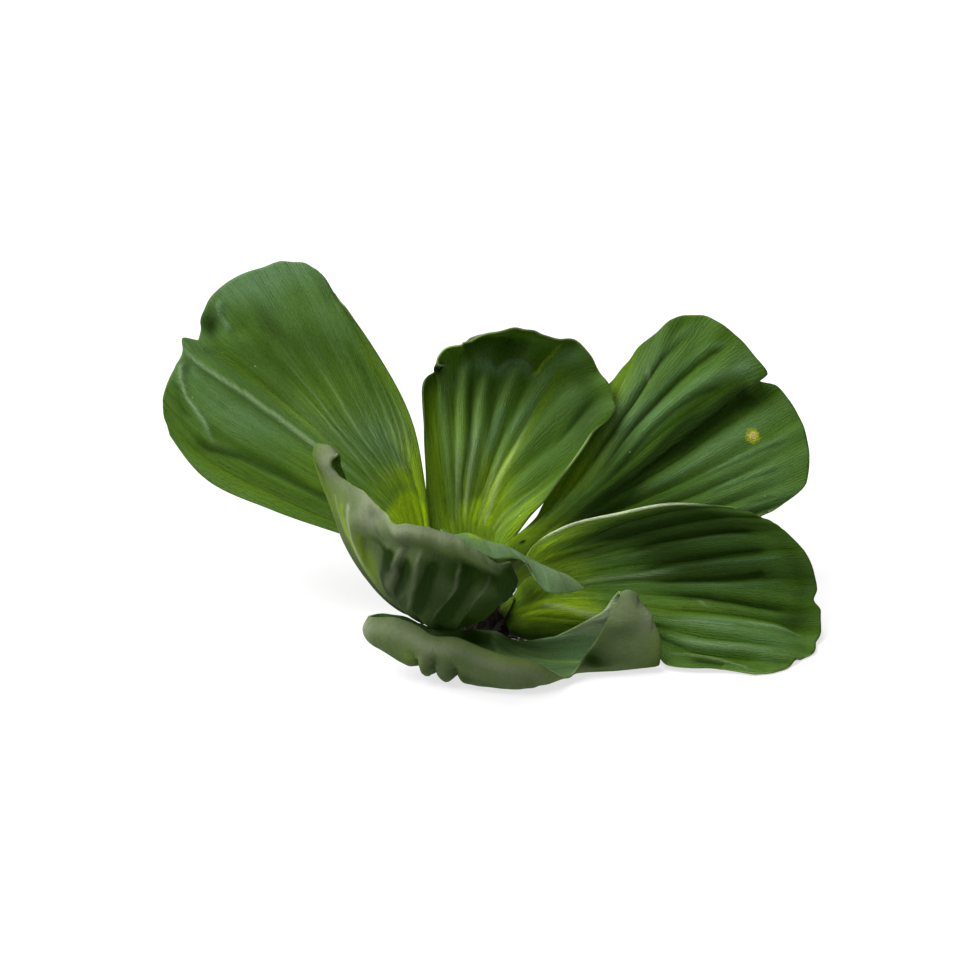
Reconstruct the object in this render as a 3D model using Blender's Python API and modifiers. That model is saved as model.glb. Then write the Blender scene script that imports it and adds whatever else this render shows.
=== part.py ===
"""Water lettuce: a picked rosette of seven ribbed leaves on a short crown, with its tuft of roots.

The plant rests on level ground at z = 0. X points right, Y points back and Z points up, and the crown
stands over the origin. Lengths below are in millimetres, and MM turns them into metres.

Each leaf is a fan of ribs that start along its foot, on the crown, and end on its rim. A smooth sheet
goes over the ribs and is then given its thickness, which falls from the foot to the rim.
"""
import math

import bmesh
import bpy
import numpy as np

MM = 0.001
OBJECT_NAME = "water_lettuce"

# Leaf sheet
COLUMNS = 26
ROWS = 11
FOOT_THICKNESS = 2.6
RIM_THICKNESS = 1.3
GROUND_CLEARANCE = 1.0

# Crown: radius and height of its profile, from the underside up
CROWN_PROFILE = ((6.6, 6.3), (7.1, 8.5), (6.7, 11.0), (5.2, 13.2), (3.0, 14.8))
CROWN_SIDES = 24

# Roots: a low tuft with a flat underside, which lies a little behind and to the right of the crown
ROOTS_CENTRE = (8.0, 10.5)
ROOTS_RADIUS = 18.0
ROOTS_RINGS = ((1.0, 0.0), (1.0, 1.0), (0.86, 2.6), (0.62, 4.2), (0.34, 5.8))
ROOTS_SIDES = 30
ROOTS_LOBES = ((5, 0.05, 0.4), (9, 0.03, 1.9))

# Colours, as linear red, green and blue
LEAF_GREEN = (0.045, 0.135, 0.028)
LEAF_BLUE_GREEN = (0.060, 0.140, 0.070)
CROWN_BROWN = (0.050, 0.028, 0.016)
ROOT_BROWN = (0.060, 0.038, 0.022)
LEAF_ROUGHNESS = 0.62
ROOT_ROUGHNESS = 0.85

# Leaves. A foot runs from a leaf's left edge to its right edge, as seen from above with the rim ahead.
# Ribs are named by their place across the leaf, from -1 on the left edge to 1 on the right edge, and
# their points run from the foot out to the rim, which is left out. The rim runs from left to right.
LEAVES = {
    "leaf_back_left": {
        "foot": ((-10.5, -1, 8), (-8, 6, 10)),
        "ribs": {
            -1: ((-20, 7, 18), (-30, 15, 26), (-44, 19, 29), (-66, 26, 34), (-88, 35, 41.5)),
            0: ((-16, 13, 20), (-25, 28, 40), (-48, 42, 58)),
            1: ((-12, 13, 20), (-15, 18, 27), (-17, 27, 39), (-21.5, 41, 58), (-34, 57, 77)),
        },
        "rim": ((-99, 44, 52), (-101, 51, 61), (-101, 56, 65), (-99, 59, 70), (-95, 62, 74), (-95, 64, 77),
                (-91, 67, 76), (-91, 70, 80), (-89, 73, 85), (-85, 75, 90), (-78, 77, 94), (-71, 79, 96),
                (-64, 80, 98), (-58, 79, 98), (-52.5, 76.5, 96), (-48, 72, 91.5), (-43.5, 67.5, 87)),
    },
    "leaf_back_centre": {
        "foot": ((-4.5, 8, 14.5), (1.5, 9.5, 14.5)),
        "ribs": {
            -1: ((-11, 17, 21), (-15, 25, 28), (-17, 39, 42), (-18, 52, 54)),
            0: ((1, 23, 25), (5, 47, 46), (9, 68, 62.5), (11, 70, 69)),
            1: ((9, 18.5, 25), (12, 20, 29.5), (16, 21.5, 34), (20, 24, 37), (27, 29, 45), (32, 34, 51),
                (36.5, 38, 56.5)),
        },
        "rim": ((-18, 57, 62), (-17, 60, 65.5), (-13, 61, 68), (-13, 61, 73), (-8, 61, 75.5), (-2, 60, 78),
                (0, 60, 79.5), (6, 61, 81), (13, 62, 81.5), (20, 62, 80.5), (23, 62, 79), (30.5, 62.5, 77),
                (35.5, 61, 72.5), (38, 60, 68), (41.5, 53.5, 65.5), (42.5, 47.5, 63), (43, 44, 61.5),
                (42, 42, 60), (40.5, 40.5, 58.5)),
    },
    "leaf_back_right": {
        "foot": ((5, 9.5, 16), (8, 7.5, 15.5)),
        "ribs": {
            -1: ((8, 15.5, 27), (11, 18, 28.5), (15, 21.5, 30), (18, 25, 31.5), (20, 29, 33.5),
                 (25.5, 38, 40), (33, 49, 48.5)),
            0: ((20, 19, 27), (51, 35, 44)),
            1: ((15, 12, 16), (25, 16, 17), (51, 24, 20), (75, 26, 25)),
        },
        "rim": ((41.5, 60, 63), (45.5, 61, 67.5), (52, 62, 76), (57, 63, 80), (61.5, 64, 84), (66, 65, 85),
                (71, 65, 85), (77, 63, 83), (83, 60, 79), (88, 57, 74), (92, 54, 69), (90, 56, 66),
                (95, 55, 65), (99, 52, 61), (103, 47, 55), (105, 40, 46), (103, 35, 40), (97, 32, 35),
                (88, 29, 31)),
    },
    "leaf_right": {
        "foot": ((10, 2.5, 10), (11.5, -6, 7)),
        "ribs": {
            -1: ((11.5, 4.5, 16), (13, 7, 23), (16, 8.5, 29), (25, 14, 33), (44, 19, 36), (63, 22, 38)),
            -0.5: ((14, 1.5, 16), (19, 6, 23), (38, 12, 27), (69, 16, 30)),
            0: ((16, 0, 13), (25, 3, 17), (62, 6, 17)),
            0.5: ((17, -3, 10), (25, -3, 11), (62, -7, 9)),
            1: ((18, -4.5, 7.5), (36, -4.5, 5), (48, -6, 3.5), (55, -11, 2), (60, -17, 1), (66, -19, 1),
                (74, -20, 1)),
        },
        "rim": ((79, 22, 37), (86, 21, 35), (93, 20, 32), (98, 19, 28), (102, 17, 24), (105, 15, 18),
                (106, 13, 12), (105, 11, 10), (107, 8, 7), (107, 3, 3), (105, -2, 2), (104, -7, 1),
                (100, -11, 0), (97, -14, 1), (95, -17, 0), (91, -20, 0), (84, -22, 1)),
    },
    "leaf_front_left": {
        "foot": ((-2, -9, 12), (-8, -5.5, 12)),
        "ribs": {
            -1: ((-1, -14, 16), (6, -28, 27), (10, -38, 36)),
            -0.5: ((-5, -20, 17), (-2, -34, 31), (0, -42, 44)),
            0: ((-12, -20, 16), (-16, -32, 30), (-18, -38, 43)),
            0.4: ((-18, -18, 18), (-26, -26, 31), (-30, -30, 48)),
            0.75: ((-21, -14, 18), (-34, -16, 34), (-41, -17, 54)),
            0.86: ((-23, -12.5, 18), (-35, -12, 31), (-42, -11, 45), (-46.5, -6, 55), (-49, -4, 61),
                   (-49.5, -7, 64)),
            0.95: ((-24, -12, 18), (-35, -9, 28), (-42, -6, 39), (-46, -3, 51), (-49.5, -1, 61),
                   (-50.5, -1, 66), (-49, -4, 69.5), (-45.5, -7, 70)),
            1: ((-22, -7, 18), (-30, -1, 28), (-36, 3, 39), (-40, 5, 50), (-41.5, 4, 56), (-42.5, 2, 60.5)),
        },
        "rim": ((11, -42, 42), (10, -43, 46), (9, -43, 49), (6, -42, 48), (4, -42, 49), (1, -41, 51),
                (-3, -40, 53), (-7, -38, 55), (-12, -37, 56), (-16, -36, 57), (-21, -34, 57),
                (-25, -32, 56), (-27, -29, 57), (-31, -25, 59), (-35, -19, 61), (-39, -14, 61),
                (-42, -10, 60.5), (-46, -8.5, 60.5), (-47.5, -9, 64), (-45, -11, 67), (-43, -8.5, 68)),
    },
    "leaf_inner": {
        "foot": ((4, -2.5, 17), (-2, -3.5, 17.5)),
        "ribs": {
            -1: ((9, -4, 21), (17, -6, 27), (25, -8, 28)),
            -0.5: ((8, -6, 22), (15, -8, 32), (20, -12, 31)),
            0: ((5, -6, 25), (9, -6, 34), (9, -9, 37)),
            0.5: ((1, -6, 27), (-1, -5, 36), (-2, -8, 41)),
            1: ((-1, -5, 28), (-6, -4, 36), (-10, -5, 41)),
        },
        "rim": ((32, -10, 24), (29, -12, 24), (25, -15, 25), (21, -17, 26), (18, -16, 28), (16, -15, 31),
                (14, -13, 34), (12, -12, 35), (9, -13, 36), (5, -14, 36), (2, -14, 37), (-3, -13, 39),
                (-9, -11, 41), (-12, -8, 43)),
    },
    "leaf_front": {
        "foot": ((5.5, -9.5, 8.5), (-4.5, -9.5, 9)),
        "ribs": {
            -1: ((10, -10.5, 8), (18, -10.5, 8), (25, -10, 11), (35, -8.5, 15.5), (39.5, -8, 19)),
            -0.93: ((10, -11.2, 7.5), (26, -10.5, 9), (40, -9, 12), (48, -9.5, 18), (48, -10.5, 23),
                    (45.5, -12, 24)),
            -0.85: ((10, -12, 6.7), (26, -11.5, 5), (42, -11, 6), (51, -12, 12), (52, -15, 17),
                    (46, -17, 18.5)),
            -0.72: ((9.5, -13, 5.8), (26, -13.5, 2), (43, -13, 2), (52.5, -14, 5), (55, -17, 10),
                    (47, -19.5, 11.5)),
            -0.6: ((8.5, -14.3, 4.9), (24, -16, 1), (42, -16, 1), (52, -16.5, 1), (54.5, -18.5, 2.5),
                   (46, -20.5, 3.5), (38, -22, 4)),
            -0.53: ((8, -15.5, 4), (22, -18, 1), (36, -18, 1), (41, -19.5, 1), (34, -21, 2)),
            -0.46: ((7, -16.5, 4), (18, -20, 1), (25, -22, 1)),
            -0.38: ((6.5, -17, 4), (14, -23, 1), (20, -28, 1)),
            -0.27: ((5.5, -17.5, 4), (11, -26, 1), (16, -32, 1.5), (17, -34, 5)),
            -0.1: ((3.5, -18.5, 4), (5, -27, 1), (7, -33, 1.5), (8, -35.5, 6)),
            0.1: ((0, -19, 4.5), (-3, -26, 1), (-3, -30.5, 2), (-4, -33, 7)),
            0.35: ((-5, -18, 5.5), (-11, -22.5, 3), (-17, -25.5, 3.5), (-19, -27.5, 8)),
            0.58: ((-8, -16.5, 7), (-20, -20, 6), (-30, -21.5, 8.5), (-32, -21, 12)),
            0.7: ((-9, -15.5, 7.5), (-22, -18, 7.5), (-33, -19, 9.5), (-35.5, -17.5, 13.5)),
            0.87: ((-9.5, -13.5, 9), (-18, -14, 9.5), (-23, -13, 12)),
            1: ((-9, -11, 10.5), (-14, -11, 10.5)),
        },
        "rim": ((43, -9, 22.5), (43, -12, 22.5), (41.5, -14, 20), (40, -15, 17.5), (38, -17.5, 15),
                (36, -20, 12.5), (33, -22, 8.5), (30.5, -24, 5.5), (27.5, -27, 2.5), (22, -31.5, 6.5),
                (17, -33.5, 11), (9, -33.5, 13), (1, -31, 14.5), (-7, -29, 17), (-14, -26, 16),
                (-19, -23, 18), (-26, -20, 19), (-30, -18, 18), (-34, -16, 17.5), (-31, -13, 17),
                (-27, -12, 16), (-22, -11, 14.5), (-17, -11, 11)),
    },
}


def curve_through(knots, points, at):
    """Points on a smooth curve that passes through the given points at the given knots."""
    knots = np.asarray(knots, float)
    points = np.asarray(points, float)
    at = np.asarray(at, float)
    step = np.diff(knots)
    secant = np.diff(points, axis=0) / step.reshape((-1,) + (1,) * (points.ndim - 1))
    slope = np.empty_like(points)
    slope[0], slope[-1] = secant[0], secant[-1]
    for i in range(1, len(knots) - 1):
        slope[i] = (secant[i - 1] * step[i] + secant[i] * step[i - 1]) / (step[i] + step[i - 1])
        steepest = 2 * np.minimum(abs(secant[i - 1]), abs(secant[i]))
        slope[i] = np.clip(slope[i], -steepest, steepest)
    if len(knots) > 2:
        slope[0] = 1.5 * secant[0] - 0.5 * slope[1]
        slope[-1] = 1.5 * secant[-1] - 0.5 * slope[-2]
    i = np.clip(np.searchsorted(knots, at, side="right") - 1, 0, len(knots) - 2)
    h = step[i]
    u = ((at - knots[i]) / h).reshape((-1,) + (1,) * (points.ndim - 1))
    h = h.reshape(u.shape)
    return ((2 * u**3 - 3 * u**2 + 1) * points[i] + (u**3 - 2 * u**2 + u) * h * slope[i]
            + (3 * u**2 - 2 * u**3) * points[i + 1] + (u**3 - u**2) * h * slope[i + 1])


def share_of_length(points):
    """How far along a chain each point lies, from 0 to 1."""
    lengths = np.linalg.norm(np.diff(points, axis=0), axis=1)
    distance = np.concatenate(([0.0], np.cumsum(lengths)))
    return distance / distance[-1]


def leaf_sheet(leaf, across, along):
    """Points of a leaf's middle sheet, in millimetres, as an array [across, along, xyz]."""
    foot = np.array(leaf["foot"], float)
    rim = np.array(leaf["rim"], float)
    rim_places = share_of_length(rim) * 2 - 1
    places = sorted(leaf["ribs"])
    ribs = []
    for place in places:
        start = foot[0] + (foot[1] - foot[0]) * (place + 1) / 2
        end = curve_through(rim_places, rim, [place])[0]
        chain = np.array([start, *leaf["ribs"][place], end], float)
        ribs.append(curve_through(share_of_length(chain), chain, along))
    sheet = curve_through(places, np.array(ribs), across)
    off_rim = curve_through(rim_places, rim, across) - sheet[:, -1]
    pull = np.clip((np.asarray(along) - 0.3) / 0.7, 0, 1) ** 2
    sheet = sheet + off_rim[:, None] * pull[None, :, None]
    sheet[..., 2] = np.maximum(sheet[..., 2], GROUND_CLEARANCE)
    return sheet


def clear_scene():
    """Remove every object, so that the script can be run again."""
    for old in list(bpy.data.objects):
        bpy.data.objects.remove(old, do_unlink=True)


def make_collection(name):
    """The collection that holds the plant."""
    collection = bpy.data.collections.get(name)
    if collection is None:
        collection = bpy.data.collections.new(name)
        bpy.context.scene.collection.children.link(collection)
    return collection


def make_material(name, colour, roughness):
    """A Principled material."""
    material = bpy.data.materials.new(name)
    material.use_nodes = True
    shader = material.node_tree.nodes["Principled BSDF"]
    shader.inputs["Base Color"].default_value = (*colour, 1.0)
    shader.inputs["Roughness"].default_value = roughness
    shader.inputs["Metallic"].default_value = 0.0
    material.diffuse_color = (*colour, 1.0)
    return material


def add_object(name, mesh, material, collection):
    """A named object that shows the mesh in the material."""
    mesh.materials.append(material)
    mesh.shade_smooth()
    new = bpy.data.objects.new(name, mesh)
    collection.objects.link(new)
    return new


def make_leaf(name, leaf, material, collection):
    """A leaf: a grid laid over its ribs, thickened by Solidify."""
    across = np.linspace(-1, 1, COLUMNS + 1)
    along = np.linspace(0, 1, ROWS + 1)
    sheet = leaf_sheet(leaf, across, along) * MM
    bm = bmesh.new()
    bmesh.ops.create_grid(bm, x_segments=COLUMNS, y_segments=ROWS, size=1.0)
    thick = bm.verts.layers.deform.verify()
    for vert in bm.verts:
        column = round((vert.co.x + 1) / 2 * COLUMNS)
        row = round((vert.co.y + 1) / 2 * ROWS)
        vert.co = sheet[column, row]
        vert[thick][0] = (1 - row / ROWS) ** 1.5
    mesh = bpy.data.meshes.new(name)
    bm.to_mesh(mesh)
    bm.free()
    new = add_object(name, mesh, material, collection)
    new.vertex_groups.new(name="thick")
    solidify = new.modifiers.new("thickness", "SOLIDIFY")
    solidify.thickness = FOOT_THICKNESS * MM
    solidify.offset = 0.0
    solidify.vertex_group = "thick"
    solidify.thickness_vertex_group = RIM_THICKNESS / FOOT_THICKNESS
    return new


def make_rings(name, rings, material, collection):
    """A closed solid from rings of points, each a list of equal length, lowest first."""
    bm = bmesh.new()
    rows = [[bm.verts.new(point) for point in ring] for ring in rings]
    for lower, upper in zip(rows, rows[1:]):
        for i in range(len(lower)):
            j = (i + 1) % len(lower)
            bm.faces.new((lower[i], lower[j], upper[j], upper[i]))
    bm.faces.new(list(reversed(rows[0])))
    bm.faces.new(rows[-1])
    mesh = bpy.data.meshes.new(name)
    bm.to_mesh(mesh)
    bm.free()
    return add_object(name, mesh, material, collection)


def make_crown(material, collection):
    """The crown, a short turned stub that carries the feet of the leaves."""
    rings = []
    for radius, height in CROWN_PROFILE:
        angles = [math.tau * i / CROWN_SIDES for i in range(CROWN_SIDES)]
        rings.append([(radius * math.cos(a) * MM, radius * math.sin(a) * MM, height * MM) for a in angles])
    return make_rings("crown", rings, material, collection)


def roots_reach(angle):
    """The radius of the root tuft in a direction, as a share of ROOTS_RADIUS."""
    return 1.0 + sum(size * math.sin(count * angle + phase) for count, size, phase in ROOTS_LOBES)


def make_roots(material, collection):
    """The root tuft, a low lobed mound with a flat underside."""
    rings = []
    for share, height in ROOTS_RINGS:
        ring = []
        for i in range(ROOTS_SIDES):
            angle = math.tau * i / ROOTS_SIDES
            radius = ROOTS_RADIUS * share * roots_reach(angle)
            x = ROOTS_CENTRE[0] * share + radius * math.cos(angle)
            y = ROOTS_CENTRE[1] * share + radius * math.sin(angle)
            ring.append((x * MM, y * MM, height * MM))
        rings.append(ring)
    return make_rings("roots", rings, material, collection)


def main():
    """Model the whole plant."""
    clear_scene()
    collection = make_collection(OBJECT_NAME)
    leaf_green = make_material("leaf_green", LEAF_GREEN, LEAF_ROUGHNESS)
    blue_green = make_material("leaf_blue_green", LEAF_BLUE_GREEN, LEAF_ROUGHNESS)
    for name, leaf in LEAVES.items():
        young = name in ("leaf_inner", "leaf_front")
        make_leaf(name, leaf, blue_green if young else leaf_green, collection)
    make_crown(make_material("crown_brown", CROWN_BROWN, ROOT_ROUGHNESS), collection)
    make_roots(make_material("root_brown", ROOT_BROWN, ROOT_ROUGHNESS), collection)


main()
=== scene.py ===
"""Water lettuce: a picked rosette of seven ribbed, velvety leaves, dressed over its solid model.

Each leaf is a sheet laid over the same ribs and rim as its solid. Pleats, folds and dents are raised on
the sheet, it is given its thickness, and its two sides and its margin get materials of their own.
Lengths in the tables are in millimetres, and MM turns them into metres. Z points up, X to the right and
Y to the back, and the crown stands over the origin.
"""
import math

import bmesh
import bpy
import numpy as np
from bpy.props import EnumProperty, FloatProperty, FloatVectorProperty, IntProperty, PointerProperty
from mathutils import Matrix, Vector


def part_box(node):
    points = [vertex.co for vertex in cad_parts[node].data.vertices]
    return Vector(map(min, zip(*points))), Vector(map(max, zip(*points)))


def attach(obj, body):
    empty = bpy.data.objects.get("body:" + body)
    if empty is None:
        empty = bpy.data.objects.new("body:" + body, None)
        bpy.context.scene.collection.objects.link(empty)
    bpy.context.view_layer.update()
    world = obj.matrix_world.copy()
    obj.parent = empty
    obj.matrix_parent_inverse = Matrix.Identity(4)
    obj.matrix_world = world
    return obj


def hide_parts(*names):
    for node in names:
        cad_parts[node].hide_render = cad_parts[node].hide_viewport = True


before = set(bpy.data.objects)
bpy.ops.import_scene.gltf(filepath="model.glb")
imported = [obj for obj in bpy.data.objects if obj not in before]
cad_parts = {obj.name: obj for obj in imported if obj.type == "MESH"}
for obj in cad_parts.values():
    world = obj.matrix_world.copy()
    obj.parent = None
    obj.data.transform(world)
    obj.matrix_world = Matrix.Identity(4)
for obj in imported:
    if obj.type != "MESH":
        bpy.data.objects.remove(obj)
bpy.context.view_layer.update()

bl_info = {
    "name": "Water Lettuce",
    "version": (1, 0, 0),
    "blender": (4, 5, 0),
    "location": "3D View > Sidebar > Plant",
    "description": "Builds a picked water lettuce with pleated, velvety leaves, its crown and its roots",
    "category": "Add Mesh",
}

MM = 0.001

# Leaf sheet: a grid of points, laid out by their place across, from -1 on the left edge to 1 on the right
# edge, as seen from above with the rim ahead, and along, from 0 at the foot to 1 at the rim
COLUMNS = 248
ROWS = 124
ACROSS = np.linspace(-1, 1, COLUMNS + 1)
ALONG = np.linspace(0, 1, ROWS + 1)
RIM_PULL_START = 0.3
NORMAL_SMOOTHINGS = 3
GROUND_CLEARANCE = 0.7
THICKNESS_LEVELS = 60

# Relief: pleats wider than WIDEST_PLEAT don't grow any higher, and towards the rim they lose PLEAT_FADE
# of their height. The outermost grooves lie just past both edges of the leaf.
WIDEST_PLEAT = 14
PLEAT_FADE = 0.8
OUTER_GROOVE = 1.13
WAVE_COUNT = 7
WAVE_PITCH = 9.0
WAVE_HEIGHT = 0.35
RIM_RIPPLE = 0.2
YOUNG_RIM_RIPPLE = 0.05
RIPPLES = 34
RIPPLE_SWAYS = 9
STRONGEST_TINT = 1.3

# Ribs and rims. A foot runs from the left edge to the right edge. Ribs are named by their place across,
# and their points run from the foot out to the rim, which is left out. The rim runs from left to right.
LEAVES = {
    "leaf_back_left": {
        "foot": ((-10.5, -1, 8), (-8, 6, 10)),
        "ribs": {
            -1: ((-20, 7, 18), (-30, 15, 26), (-44, 19, 29), (-66, 26, 34), (-88, 35, 41.5)),
            0: ((-16, 13, 20), (-25, 28, 40), (-48, 42, 58)),
            1: ((-12, 13, 20), (-15, 18, 27), (-17, 27, 39), (-21.5, 41, 58), (-34, 57, 77)),
        },
        "rim": ((-99, 44, 52), (-101.6, 51, 61), (-100.5, 56, 65), (-97.6, 59, 70), (-95.6, 62, 74),
                (-96, 64, 77.3), (-91, 67, 76), (-91, 70, 80), (-89, 73, 85), (-85, 75, 90), (-78, 77, 94),
                (-71, 79, 96), (-64, 80, 98), (-58, 79, 98), (-52.5, 76.5, 96), (-48, 72, 91.5),
                (-43.5, 67.5, 87)),
    },
    "leaf_back_centre": {
        "foot": ((-4.5, 8, 14.5), (1.5, 9.5, 14.5)),
        "ribs": {
            -1: ((-11.6, 17, 21), (-15.7, 25, 28), (-17.8, 39, 42), (-18.7, 52, 54)),
            0: ((1, 23, 25), (5, 47, 46), (9, 68, 62.5), (11, 70, 69)),
            1: ((9, 18.5, 25), (12, 20, 29.5), (16, 21.5, 34), (20, 24, 37), (27, 29, 45), (32, 34, 51),
                (36.5, 38, 56.5)),
        },
        "rim": ((-18.5, 57, 62), (-16.8, 60, 65.7), (-12.8, 61, 68.2), (-12.2, 61, 73), (-8, 61, 75.5),
                (-2, 60, 78), (0, 60, 79.5), (6, 61, 81), (13, 62, 81.5), (20, 62, 80.5), (23, 62, 79),
                (30.5, 62.5, 77), (35.5, 61, 72.5), (38, 60, 68), (41.5, 53.5, 65.5), (42.5, 47.5, 63),
                (43, 44, 61.5), (42, 42, 60), (40.5, 40.5, 58.5)),
    },
    "leaf_back_right": {
        "foot": ((5, 9.5, 16), (8, 7.5, 15.5)),
        "ribs": {
            -1: ((8, 15.5, 27), (11, 18, 28.5), (15, 21.5, 30), (18, 25, 31.5), (20, 29, 33.5),
                 (25.5, 38, 40), (33, 49, 48.5)),
            0: ((20, 19, 27), (51, 35, 44)),
            1: ((15, 12, 16), (25, 16, 17), (51, 24, 20), (75, 26, 25)),
        },
        "rim": ((41.5, 60, 63), (45.5, 61, 67.5), (52, 62, 76), (57, 63, 80), (61.5, 64, 84), (66, 65, 85),
                (71, 65, 85), (77, 63, 83), (83, 60, 79), (88, 57, 74), (92, 54, 69), (90, 56, 66),
                (95, 55, 65), (99, 52, 61), (103, 47, 55), (105, 40, 46), (104, 35, 39.7), (98, 32, 34.7),
                (89, 29, 30.6)),
    },
    "leaf_right": {
        "foot": ((6.5, 2.5, 11.5), (9.5, -6, 6.2)),
        "ribs": {
            -1: ((11.5, 4.5, 16), (13, 7, 23), (16, 8.5, 29), (25, 14, 33), (44, 19, 36), (63, 22, 38)),
            -0.5: ((14, 1.5, 16), (19, 6, 23), (38, 12, 27), (69, 16, 30)),
            0: ((16, 0, 13), (25, 3, 17), (62, 6, 17)),
            0.5: ((17, -3, 10), (25, -3, 11), (62, -7, 9)),
            1: ((14, -5.6, 4.4), (18, -5, 3.4), (25, -4.8, 3.8), (36, -4.5, 4.6), (48, -6, 3.5),
                (54.5, -12, 2), (57.8, -17.5, 1), (65, -19.5, 1), (74, -20, 1)),
        },
        "rim": ((79, 22, 37), (86, 21, 35), (93, 20, 32), (98, 19, 28), (102, 17, 24), (105, 15, 18),
                (106, 13, 12), (105, 11, 10), (107, 8, 7), (107, 3, 3), (105, -2, 2), (104, -7, 1),
                (100, -11, 0), (97, -14, 1), (95, -17, 0), (91, -20, 0), (84, -22, 1)),
    },
    "leaf_front_left": {
        "foot": ((-2, -9, 12), (-8, -5.5, 12)),
        "ribs": {
            -1: ((-1, -14, 16), (6, -28, 27), (10, -38, 36)),
            -0.5: ((-5, -20, 17), (-2, -34, 31), (0, -42, 44)),
            0: ((-12, -20, 16), (-16, -32, 30), (-18, -38, 43)),
            0.4: ((-18, -18, 18), (-26, -26, 31), (-30, -30, 48)),
            0.75: ((-21, -14, 18), (-34, -16, 34), (-41, -17, 54)),
            0.86: ((-23, -12.5, 18), (-34.3, -12, 31), (-41, -11, 45), (-45.4, -6, 55), (-48, -4, 61),
                   (-48.5, -7, 64)),
            0.95: ((-24, -12, 18), (-34.2, -9, 28), (-41, -6, 39), (-45, -3, 51), (-48.4, -1, 61),
                   (-49.6, -1, 66), (-48.4, -4, 69.5), (-45.3, -7, 70)),
            1: ((-22, -7, 18), (-30, -1, 28), (-36, 3, 39), (-40, 5, 50), (-41.5, 4, 56), (-42.5, 2, 60.5)),
        },
        "rim": ((11, -42, 42), (10, -43, 46), (9, -43, 49), (6, -42, 48), (4, -42, 49), (1, -41, 51),
                (-3, -40, 53), (-7, -38, 55), (-12, -37, 56), (-16, -36, 57), (-21, -34, 57),
                (-25, -32, 56), (-27, -29, 57), (-31, -25, 59), (-35, -19, 61), (-39, -14, 61),
                (-41, -10.8, 61.2), (-43.3, -9.8, 62.8), (-44.8, -9.5, 65.3), (-44, -9.5, 67.4),
                (-42.7, -8.5, 68.2)),
    },
    "leaf_inner": {
        "foot": ((4, -2.5, 17), (-2, -3.5, 17.5)),
        "ribs": {
            -1: ((9, -4, 21), (17, -6, 27), (25, -8, 28)),
            -0.5: ((8, -6, 22), (15, -8, 32), (20, -12, 31)),
            0: ((5, -6, 25), (9, -6, 34), (9, -9, 37)),
            0.5: ((1, -6, 27), (-1, -5, 36), (-2, -8, 41)),
            1: ((-1, -5, 28), (-6, -4, 36), (-10, -5, 41)),
        },
        "rim": ((32, -10, 24), (29, -12, 24), (25, -15, 25), (21, -17, 26), (18, -16, 28), (16, -15, 31),
                (14, -13, 34), (12, -12, 35), (9, -13, 36), (5, -14, 36), (2, -14, 37), (-3, -13, 39),
                (-9, -11, 41), (-12, -8, 43)),
    },
    "leaf_front": {
        "foot": ((5.5, -9.5, 8.5), (-4.5, -9.5, 9)),
        "ribs": {
            -1: ((10, -10.7, 6.6), (18, -10.5, 6), (22.8, -10.2, 7.6), (26.1, -10, 9), (33.2, -9, 12.8),
                 (38.4, -8.5, 16.2), (41, -8, 19.8)),
            -0.93: ((10, -11.2, 6.3), (26, -10.5, 7.6), (40, -9, 12), (48.6, -9.8, 18), (48.2, -10.8, 22),
                    (45.8, -11.8, 23.8)),
            -0.85: ((10, -12, 6.7), (26, -11.5, 5), (42, -11, 6), (51, -12, 12), (52, -15, 17),
                    (46, -17, 18.5)),
            -0.72: ((9.5, -13, 5.8), (26, -13.5, 2), (43, -13, 2), (52.5, -14, 5), (55, -17, 10),
                    (47, -19.5, 11.5)),
            -0.6: ((8.5, -14.3, 4.9), (24, -16, 1), (42, -16, 1), (52, -16.5, 1), (54.5, -18.5, 2.5),
                   (46, -20.5, 3.5), (38, -22, 4)),
            -0.53: ((8, -15.5, 4), (22, -18, 1), (36, -18, 1), (41, -19.5, 1), (34, -21, 2)),
            -0.46: ((7, -16.5, 4), (18, -20, 1), (25, -22, 1)),
            -0.38: ((6.5, -17, 4), (14, -23, 1), (20, -28, 1)),
            -0.27: ((5.5, -17.5, 4), (11, -26, 1), (16, -32, 1.5), (17, -34, 5)),
            -0.1: ((3.5, -18.5, 4), (5, -27, 1), (7, -33, 1.5), (8, -35.5, 6)),
            0.1: ((0, -19, 4.5), (-3, -26, 1), (-3, -30.5, 2), (-4, -33, 7)),
            0.35: ((-5, -18, 5.5), (-11, -22.5, 3), (-17, -25.5, 3.5), (-19, -27.5, 8)),
            0.58: ((-8, -16.5, 7), (-20, -20, 6.5), (-30, -21.5, 9.4), (-32, -21, 12.6)),
            0.7: ((-9, -15.5, 7.5), (-22, -18, 8.2), (-33, -19, 11), (-35, -17.5, 14)),
            0.87: ((-9.5, -13.5, 9), (-18, -14, 9.5), (-23, -13, 12)),
            1: ((-9, -11, 10.5), (-14, -11, 10.5)),
        },
        "rim": ((43, -9, 22.5), (43, -12, 22.5), (41.5, -14, 20), (40, -15, 17.5), (38, -17.5, 15),
                (36, -20, 12.5), (33, -22, 8.5), (30.5, -24, 5.5), (27.5, -27, 2.5), (22, -31.5, 6.5),
                (17, -33.5, 11), (9, -33.5, 13), (1, -31, 14.5), (-7, -29, 17), (-14, -26, 16),
                (-19, -23, 18), (-26, -20, 19), (-30, -18, 18), (-34, -16, 17.5), (-31, -13, 17),
                (-27, -12, 16), (-22, -11, 14.5), (-17, -11, 11)),
    },
}

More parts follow.
